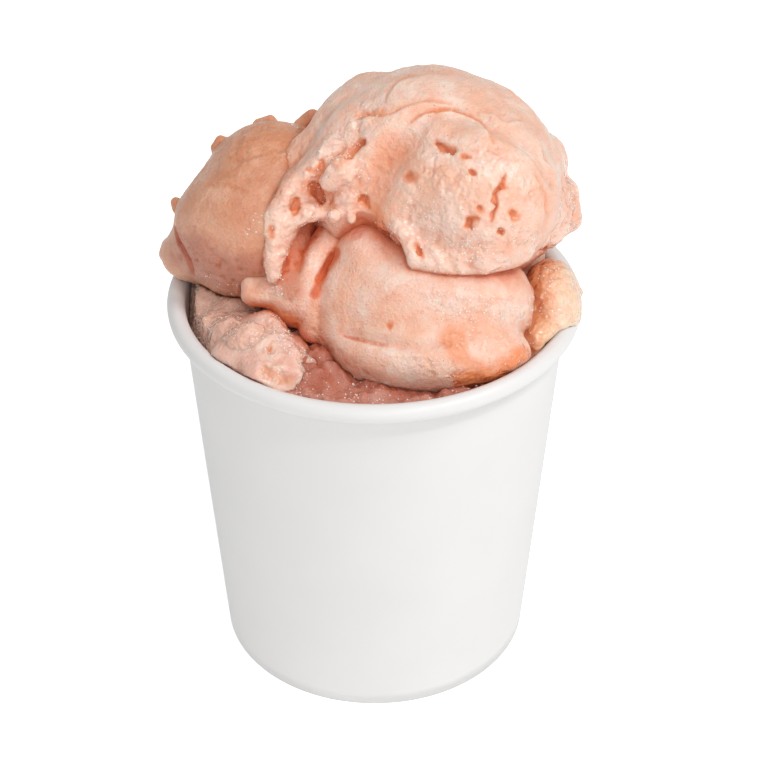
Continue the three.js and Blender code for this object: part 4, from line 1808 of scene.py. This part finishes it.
@dataclass
class FrontChunk(SorbetPiece):
    """The broken piece at the front left, against the rim."""

    # The wet broken face, with painted shade on its left slope and its right side.
    zones: tuple[Zone, ...] = (
        Zone(Shade.TORN, ((-23.5, -8), (-25, -14), (-24, -21)), 6.5),
        Zone(Shade.TORN, ((-18, -15), (-15.5, -20), (-14, -24)), 4, 0.9),
        Zone(Shade.MELT, ((-25.4, -19.6), (-22.4, -21.4), (-19.6, -21.6)), 3.0, 0.55),
        Zone(Shade.FROST, ((-23.5, -9), (-21.5, -11), (-20.5, -14)), 4.5),
        Zone(Shade.FROST, ((-16, -15), (-15, -20)), 4, 0.6),
        # painted shade on the slopes turned from the light
        Zone(Shade.DUSK, ((-34, -8), (-35, -15), (-34, -22)), 9, 0.4),
        Zone(Shade.DUSK, ((-15.5, -13), (-15, -22)), 3.5, 0.8),
    )

    def form(self) -> Form:
        """A peaked wedge with a crest down its left, a hollow low on its face, and rubble beside it.

        Returns:
            The piece's form.
        """
        wedge = Joined([
            Rope.laid([(-25.8, -9.2, 17), (-27.4, -15, 21), (-26.4, -22, 26)], [3.2, 4.2, 4.8]),
            Rope.laid([(-24.8, -9.4, 17), (-21.6, -14.5, 21), (-20.6, -21.5, 26)], [3.0, 4.0, 4.6]),
            Rope.laid([(-31, -11.5, 13), (-33.5, -17.5, 19.6)], [5, 5.6]),
        ], 4.2)
        crest = Rope.laid(
            [(-25.6, -7.8, 18.2), (-28.9, -12.4, 21.8), (-30.2, -17.4, 24.8), (-28.5, -22, 28.5)],
            [1.4, 1.7, 1.8, 1.6],
        )
        rubble = Rope.laid([(-19, -13.5, 18), (-16.3, -18, 22), (-14.4, -22.6, 25.6)], [2.6, 3, 3])
        body = Joined([Joined([wedge, crest], 1.2), rubble], 1.0)
        hollow = [(-26.6, -18.6), (-24.4, -20.6), (-21.4, -21.8), (-18.6, -21.4)]
        return self.pierced(
            folded(body, [(hollow, 5.2, 1.3)], 0.8), [([(-24.6, -13.6), (-24.3, -14.6)], 1.2, 0.5)]
        )


@dataclass
class RightLump(SorbetPiece):
    """The half-melted lump of icy sorbet between the roll and the rim at the right."""

    # Syrup all over it, with bits of ice.
    zones: tuple[Zone, ...] = (
        Zone(Shade.MELT, ((38, 5), (40, -3), (39, -14)), 9, 0.45),
        Zone(Shade.WET, ((42, 6), (43, -6), (39, -16)), 22, 0.45),
        Zone(Shade.TORN, ((42, 3), (43, -4), (40, -14)), 15, 0.3),
        Zone(Shade.FROST, ((40, 3), (42, -6)), 6, 0.35),
    )

    def form(self) -> Form:
        """A lump with a foot beside the roll and a nib that lies on the rim.

        Returns:
            The piece's form.
        """
        body = Joined([Ball((41.4, -4.5, 7), (7.6, 11.3, 9.5)), Ball((38.4, -12.6, 10.5), (5.6, 6, 8))], 3)
        nib = Rope.laid([(46.5, -1, 6), (48.2, -1, 5)], [1.4, 0.9])
        return Joined([body, nib], 1.5)


@dataclass
class PackedFill:
    """The sorbet that fills the cup: packed flat, crumbly in front and banked behind the scoops."""

    node: str = "sorbet_fill"
    finish: SorbetFinish = FILL_FINISH
    rings: int = 92
    turns: int = 360
    side_rows: int = 12
    edge: float = CUP.curl_centre - CUP.curl_radius - CUP.gap
    shoulder: float = 89.0  # where its side starts, under the curl
    wave_height: float = 1.1
    bank_height: float = 11.0
    bank_run: tuple[float, float] = (-8, 22)  # where along y the bank starts and where it is full
    heaps: tuple[tuple[float, ...], ...] = (  # x, y, width, depth and height of each
        (-36, -3, 12, 17, 6.6),
        (-30, -26, 10, 9, 8.5),
        (-11, -25, 8, 8, 4.2),
        (-12, -34, 8, 6, 2.6),
    )
    crumbly_run: tuple[float, float] = (-26, -12)  # where along x it turns from smooth to crumbly
    smoothest: float = 0.12  # how crumbly it is where it is smooth
    squash: float = 0.4  # share of the height that its patterns follow
    lump: Wave = Wave(1.6, 4.4, 0.7)
    crumb: Wave = Wave(1.5, 2.2, 0.7, 30)
    rag: Wave = Wave(0.6, 2.6)
    smear: Wave = Wave(0.8, 6.0, shift=60)
    cluster: Wave = Wave(1.0, 4.0, shift=90)
    slit_start: tuple[float, float] = (168, 180)  # the gap at the left wall, in degrees round it
    slit_end: tuple[float, float] = (203, 212)
    slit_depth: float = 7.0
    slit_run: tuple[float, float] = (2.3, 1.3)  # where it opens and is full, in from the edge
    edge_fall: float = 1.6  # how far the top falls at the edge, over as long a way
    lip: float = 1.6  # how far the smooth part is drawn up a neighbour
    lip_reach: float = 4.0  # how near the neighbour that starts
    lip_run: tuple[float, float] = (-6, -14)  # where along y it starts and is full
    frost_run: tuple[float, float] = (-24, -32)  # the same for the loose frost in front
    buried: float = 0.8  # how deep under a neighbour the top is dropped to the bed

    def top(self, x: Points, y: Points) -> Points:
        """Height of the top before it is worked.

        Args:
            x: Places on the top.
            y: The same.

        Returns:
            One height for each place.
        """
        waves = np.sin(0.31 * x + 1) * np.cos(0.37 * y) + 0.5 * np.sin(0.63 * y - 0.4 * x)
        outwards = np.hypot(x, y) / CUP.curl_centre
        bank = self.bank_height * smoothstep(*self.bank_run, y) * np.maximum(0, 1 - outwards**4)
        heaped = sum(
            height * np.exp(-(((x - at_x) / wide) ** 2 + ((y - at_y) / deep) ** 2))
            for at_x, at_y, wide, deep, height in self.heaps
        )
        return FILL_LEVEL + self.wave_height * waves + bank + heaped * np.maximum(0, 1 - outwards**8)

    @staticmethod
    def clearance(x: Points, y: Points, z: Points, laid: list[Form]) -> Points:
        """Distance from places in the cup's frame to the nearest of the pieces laid."""
        q = LAYOUT.to_slanted(np.column_stack([x, y, z]))
        return np.min([form.distance(q) for form in laid], axis=0)

    def build(self, laid: list[Form], seed: int) -> Surface:
        """Works out the fill.

        Args:
            laid: The pieces that lie in it.
            seed: Seed of the noise.

        Returns:
            Its points, in the cup's frame, its quads and its shades.
        """
        floor = CUP.base_height + CUP.board + CUP.gap
        rings = [(self.edge * i / self.rings, FILL_LEVEL) for i in range(self.rings + 1)]
        levels = np.linspace(self.shoulder, floor, self.side_rows)
        sides = [(float(CUP.wall_radius(z)) - CUP.board - CUP.gap, z) for z in levels]
        points, quads = lathed([*rings, *sides, (0, floor)], self.turns)
        top = points[:, 2] > BED_LEVEL
        x, y = points[top, :2].T
        z = self.top(x, y)
        noise = Noise(seed)
        where = np.column_stack([x, y, self.squash * z])
        rubble = self.lump.over(where, noise.grains) + self.crumb.over(where, noise.grains)
        broken = self.smoothest + (1 - self.smoothest) * smoothstep(*self.crumbly_run, x)
        z = z + broken * (rubble + self.rag.over(where, noise.layered, 3))
        z = z + (1 - broken) * self.smear.over(where, noise.layered, 2)
        r, angle = np.hypot(x, y), np.degrees(np.arctan2(y, x)) % 360
        slit = smoothstep(*self.slit_start, angle) * (1 - smoothstep(*self.slit_end, angle))
        slit_from, slit_full = (self.edge - inset for inset in self.slit_run)
        z = z - self.slit_depth * slit * smoothstep(slit_from, slit_full, r)
        z = z - self.edge_fall * smoothstep(self.edge - self.edge_fall, self.edge, r)
        near = self.clearance(x, y, z, laid)
        drawn = (1 - broken) * (1 - smoothstep(0.0, self.lip_reach, near)) * smoothstep(*self.lip_run, y)
        z = z + self.lip * drawn
        near = self.clearance(x, y, z, laid)
        sunk = smoothstep(0.0, self.buried, -near)
        points[top, 2] = z * (1 - sunk) + (BED_LEVEL - CUP.gap) * sunk
        shades = {name: np.zeros(len(points)) for name in Shade}
        # painted shade: syrup and deep colour in the crumbs' lows and against the pieces
        low = broken * (1 - smoothstep(-0.9, 0.9, rubble))
        contact_shade = broken * (1 - smoothstep(0.2, 3.0, near))
        clusters = smoothstep(-0.1, 0.5, self.cluster.over(where, noise.smooth))
        shades[Shade.TORN][top] = 1.0 - 0.85 * broken
        # painted shade over the crumbly front, which lies under the roll
        shades[Shade.DUSK][top] = 0.7 * broken
        shades[Shade.FROST][top] = 0.5 * broken * smoothstep(*self.frost_run, y) * clusters
        shades[Shade.HOLLOW][top] = np.clip(0.6 * low + 0.4 * contact_shade, 0, 1)
        shades[Shade.DEEP][top] = np.clip(0.25 * low + 0.6 * contact_shade, 0, 1)
        return points, quads, shades


# ---------- ice and fruit specks


@dataclass(frozen=True)
class SpeckFinish:
    """Small things in the sorbet: clear ice grains, or shreds of fruit skin."""

    name: str
    colour: str
    roughness: float
    clear: float = 0.0
    ior: float = 1.31
    cloud_mm: float = 1.5
    darkening: float = 0.8

    def material(self) -> bpy.types.Material:
        """Builds the material, with a little unevenness of colour.

        Returns:
            The material.
        """
        material, tree = new_material(self.name)
        place = add_node(tree, "ShaderNodeTexCoord").outputs["Object"]
        cloud = add_node(tree, "ShaderNodeTexNoise", None, Vector=place, Scale=1 / (self.cloud_mm * MM))
        darker = (*[self.darkening * c for c in linear(self.colour)[:3]], 1.0)
        colours = {"i6": linear(self.colour), "i7": darker}
        tint = add_node(tree, "ShaderNodeMix", {"data_type": "RGBA"}, i0=cloud.outputs[0], **colours)
        surface = add_node(
            tree, "ShaderNodeBsdfPrincipled", None, Base_Color=tint.outputs[2], Roughness=self.roughness,
            IOR=self.ior, Transmission_Weight=self.clear,
        )
        add_node(tree, "ShaderNodeOutputMaterial", None, Surface=surface.outputs[0])
        return material


@dataclass
class Scatter:
    """Grains strewn over the sorbet by a Geometry Nodes tree.

    Their density follows the attribute named by share, and their sizes run from the smallest to
    the largest share of the radius.
    """

    name: str
    finish: SpeckFinish
    per_mm2: float
    radius_mm: float
    flatness: float
    seed: int
    share: str
    smallest: float = 0.45
    largest: float = 1.3

    def tree(self) -> bpy.types.GeometryNodeTree:
        """Builds the tree.

        Returns:
            A tree with the inputs Density, Radius, Flatness, Seed and Material.
        """
        tree = bpy.data.node_groups.new(self.name, "GeometryNodeTree")
        kinds = {"Density": "Float", "Radius": "Float", "Flatness": "Float", "Seed": "Int"}
        for name, kind in {"Geometry": "Geometry", **kinds, "Material": "Material"}.items():
            tree.interface.new_socket(name, in_out="INPUT", socket_type=f"NodeSocket{kind}")
        tree.interface.new_socket("Geometry", in_out="OUTPUT", socket_type="NodeSocketGeometry")
        source = add_node(tree, "NodeGroupInput").outputs

        def times(a: Socket, b: Socket) -> Socket:
            """One value times another."""
            return add_node(tree, "ShaderNodeMath", {"operation": "MULTIPLY"}, i0=a, i1=b).outputs[0]

        share = add_node(tree, "GeometryNodeInputNamedAttribute", {"data_type": "FLOAT"}, Name=self.share)
        points = add_node(
            tree, "GeometryNodeDistributePointsOnFaces", {"distribute_method": "RANDOM"},
            Mesh=source["Geometry"], Density=times(share.outputs[0], source["Density"]),
            Seed=source["Seed"],
        )
        grain = add_node(tree, "GeometryNodeMeshIcoSphere", None, Radius=source["Radius"], Subdivisions=1)
        ends = {"i2": self.smallest, "i3": self.largest, "Seed": source["Seed"]}
        size = add_node(tree, "FunctionNodeRandomValue", {"data_type": "FLOAT"}, **ends).outputs[1]
        sizes = {"X": size, "Y": size, "Z": times(size, source["Flatness"])}
        scale = add_node(tree, "ShaderNodeCombineXYZ", None, **sizes)
        strewn = add_node(
            tree, "GeometryNodeInstanceOnPoints", None, Points=points.outputs["Points"],
            Instance=grain.outputs[0], Rotation=points.outputs["Rotation"], Scale=scale.outputs[0],
        )
        real = add_node(tree, "GeometryNodeRealizeInstances", None, Geometry=strewn.outputs[0])
        dress = {"Geometry": real.outputs[0], "Material": source["Material"]}
        dressed = add_node(tree, "GeometryNodeSetMaterial", None, **dress)
        add_node(tree, "NodeGroupOutput", None, Geometry=dressed.outputs[0])
        return tree

    def strew(self, host: Piece) -> Piece:
        """Strews the grains and makes them a plain mesh.

        Args:
            host: The surface they lie on.

        Returns:
            The grains, as one piece.
        """
        tree = self.tree()
        modifier = host.modifiers.new(self.name, "NODES")
        modifier.node_group = tree
        values = {
            "Density": self.per_mm2 / MM**2,
            "Radius": self.radius_mm * MM,
            "Flatness": self.flatness,
            "Seed": self.seed,
            "Material": self.finish.material(),
        }
        for item in tree.interface.items_tree:
            if item.in_out == "INPUT" and item.name in values:
                modifier[item.identifier] = values[item.name]
        evaluated = host.evaluated_get(bpy.context.evaluated_depsgraph_get())
        mesh = bpy.data.meshes.new_from_object(evaluated)
        host.modifiers.remove(modifier)
        mesh.name = self.name
        piece = placed(self.name, mesh)
        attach(piece, "root")
        return piece


# ---------- the heap


@dataclass
class Heap:
    """All the sorbet: the pieces in the order they were laid, then the fill, then the grains."""

    BURIED = (0.5, 0.95)  # how deep in a crease the grains start to thin out, and where they end
    FROST_ICE, TORN_ICE = 0.8, 0.35  # how thickly ice lies on loose frost, and on a torn place
    TORN_SPECKS = 0.7  # share of the specks that a torn place lacks

    seed: int = 11
    pieces: tuple[SorbetPiece, ...] = (
        UpperScoop("scoop_top", UPPER_FINISH),
        LeftScoop("scoop_left", SHADED_FINISH, calm=0.9),
        FrontRoll("scoop_front", UPPER_FINISH, calm=0.8),
        FrontChunk("lump_front_left", BROKEN_FINISH, calm=0.7, rough=0.7),
        RightLump("lump_right", ICY_FINISH, slot=Slot.MELTING),
    )
    fill: PackedFill = field(default_factory=PackedFill)

    def build(self) -> list[Piece]:
        """Makes and dresses every piece of sorbet.

        Returns:
            The pieces.
        """
        forms: list[Form] = []
        laid: list[Laid] = []
        for piece in self.pieces:
            form = piece.form()
            laid.append(Laid(form, list(forms)))
            forms.append(form)
        made = []
        strewn: list[Surface] = []
        kinds = (UPPER_FINISH, SHADED_FINISH, BROKEN_FINISH, ICY_FINISH, FILL_FINISH)
        finishes = {kind.name: kind.material() for kind in kinds}
        for index, piece in enumerate(self.pieces):
            others = [form for other, form in enumerate(laid) if other != index]
            skin = piece.worked(laid[index], others, self.seed)
            name = f"sorbet_{piece.node}"
            strewn.append((LAYOUT.to_cup(skin.q), skin.quads, skin.shades))
            obj = mesh_of(name, *strewn[-1])
            self.dress(obj, finishes[piece.finish.name], piece.node, piece.slot)
            made.append(obj)
            LOG.info("%s: %d points", name, len(skin.q))
        packed = self.fill.build(laid, self.seed)
        strewn.append(packed)
        filled = mesh_of("sorbet_packed_fill", *packed)
        close_up(filled)
        self.dress(filled, finishes[self.fill.finish.name], self.fill.node, Slot.SORBET)
        made.append(filled)
        host = self.host(strewn)
        ice = SpeckFinish("frosted_ice_grain", "FFF4EC", 0.1)
        skin_shred = SpeckFinish("fruit_skin_shred", "D8967A", 0.5)
        scatters = (
            Scatter("ice_grains", ice, 1.6, 0.17, 0.7, 5, "icy"),
            Scatter("fruit_specks", skin_shred, 0.12, 0.12, 0.35, 9, "specked"),
        )
        for scatter in scatters:
            made.append(scatter.strew(host))
            LOG.info("%s: %d faces", scatter.name, len(made[-1].data.polygons))
        bpy.data.objects.remove(host)
        return made

    @staticmethod
    def dress(piece: Piece, finish: bpy.types.Material, node: str, slot: Slot) -> None:
        """Gives a piece its finish and hides the node that it stands for.

        Args:
            piece: The object.
            finish: Its material.
            node: The node that it replaces.
            slot: Not used.
        """
        piece.data.materials.append(finish)
        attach(piece, "root")
        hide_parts(node)

    def host(self, skins: list[Surface]) -> Piece:
        """A passing mesh of all the skins, with how thickly grains lie on each point.

        Args:
            skins: Points, quads and shades of each.

        Returns:
            A mesh that grains are strewn on and that is then removed.
        """
        offset, points, quads = 0, [], []
        icy, specked = [], []
        for q, faces, shades in skins:
            points.append(q)
            quads.append(faces + offset)
            offset += len(q)
            free = 1 - smoothstep(*self.BURIED, shades[Shade.DEEP])
            ice = self.FROST_ICE * shades[Shade.FROST] + self.TORN_ICE * shades[Shade.TORN]
            icy.append(ice * free)
            specked.append((1 - self.TORN_SPECKS * shades[Shade.TORN]) * free)
        shades = {"icy": np.concatenate(icy), "specked": np.concatenate(specked)}
        return mesh_of("grain_bed", np.concatenate(points), np.concatenate(quads), shades)


# ---------- studio


@dataclass(frozen=True)
class Lamp:
    """One soft round light, aimed at the sorbet."""

    name: str
    place: Triple
    width: float
    power: float

    def hang(self, target: Triple) -> None:
        """Adds the light to the scene.

        Args:
            target: The place it is aimed at.
        """
        data = bpy.data.lights.new(self.name, "AREA")
        data.shape, data.size, data.energy = "DISK", self.width, self.power
        lamp = placed(self.name, data)
        lamp.location = self.place
        lamp.rotation_euler = (Vector(target) - lamp.location).to_track_quat("-Z", "Y").to_euler()


@dataclass
class Studio:
    """The camera, the pale floor and the soft light from the right."""

    lens: float = 102.08
    sensor: float = 36.0
    camera_tilt: float = math.radians(54.31)
    target: Triple = (0.0, 0.0, 0.1)
    sky: float = 0.4
    floor_half: float = 3.0
    floor_glow: tuple[float, float] = (0.42, 0.72)  # as the object is lit by it, and as it is seen
    lamps: tuple[Lamp, ...] = (
        Lamp("key", (0.58, -0.26, 0.92), 0.34, 3.85),
        Lamp("glint", (0.30, -0.50, 0.95), 0.07, 1.6),
        Lamp("front", (0.12, -0.85, 0.62), 0.6, 2.1),
        Lamp("sky", (-0.35, -0.1, 1.05), 0.6, 0.9),
    )

    def build(self) -> None:
        """Sets up the studio round the finished object."""
        scene = bpy.context.scene
        scene.view_settings.view_transform = "Standard"
        data = bpy.data.cameras.new("camera")
        data.lens, data.sensor_width = self.lens, self.sensor
        camera = placed("camera", data)
        camera.location = [c * MM for c in LAYOUT.eye]
        camera.rotation_euler = (self.camera_tilt, 0, 0)
        scene.camera = camera
        for lamp in self.lamps:
            lamp.hang(self.target)
        world = bpy.data.worlds.new("studio")
        world.use_nodes = True
        background = next(node for node in world.node_tree.nodes if node.type == "BACKGROUND")
        background.inputs["Color"].default_value = (1.0, 1.0, 1.0, 1.0)
        background.inputs["Strength"].default_value = self.sky
        scene.world = world
        self.floor()

    def floor(self) -> None:
        """Lays the plain floor."""
        h = self.floor_half / MM
        corners = np.array([[-h, -h, 0], [h, -h, 0], [h, h, 0], [-h, h, 0]], float)
        floor = mesh_of("floor", corners, np.array([[0, 1, 2, 3]]))
        material, tree = new_material("matt_white_sweep")
        seen = add_node(tree, "ShaderNodeLightPath").outputs["Is Camera Ray"]
        lit, shown = self.floor_glow
        glow = add_node(tree, "ShaderNodeMapRange", None, Value=seen, i3=lit, i4=shown)
        surface = add_node(
            tree, "ShaderNodeBsdfPrincipled", None, Base_Color=linear("D8D8D8"), Roughness=0.9,
            Emission_Color=linear("FFFFFF"), Emission_Strength=glow.outputs[0],
        )
        add_node(tree, "ShaderNodeOutputMaterial", None, Surface=surface.outputs[0])
        floor.data.materials.append(material)


def main() -> None:
    """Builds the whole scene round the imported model."""
    logging.basicConfig(level=logging.INFO, format="%(name)s: %(message)s")
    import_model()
    board = BoardFinish().material()
    for piece in PaperCup().build(board):
        LOG.info("%s: %d faces", piece.name, len(piece.data.polygons))
    for piece in Heap().build():
        LOG.info("%s: %d faces", piece.name, len(piece.data.polygons))
    Studio().build()


if __name__ == "__main__":
    main()
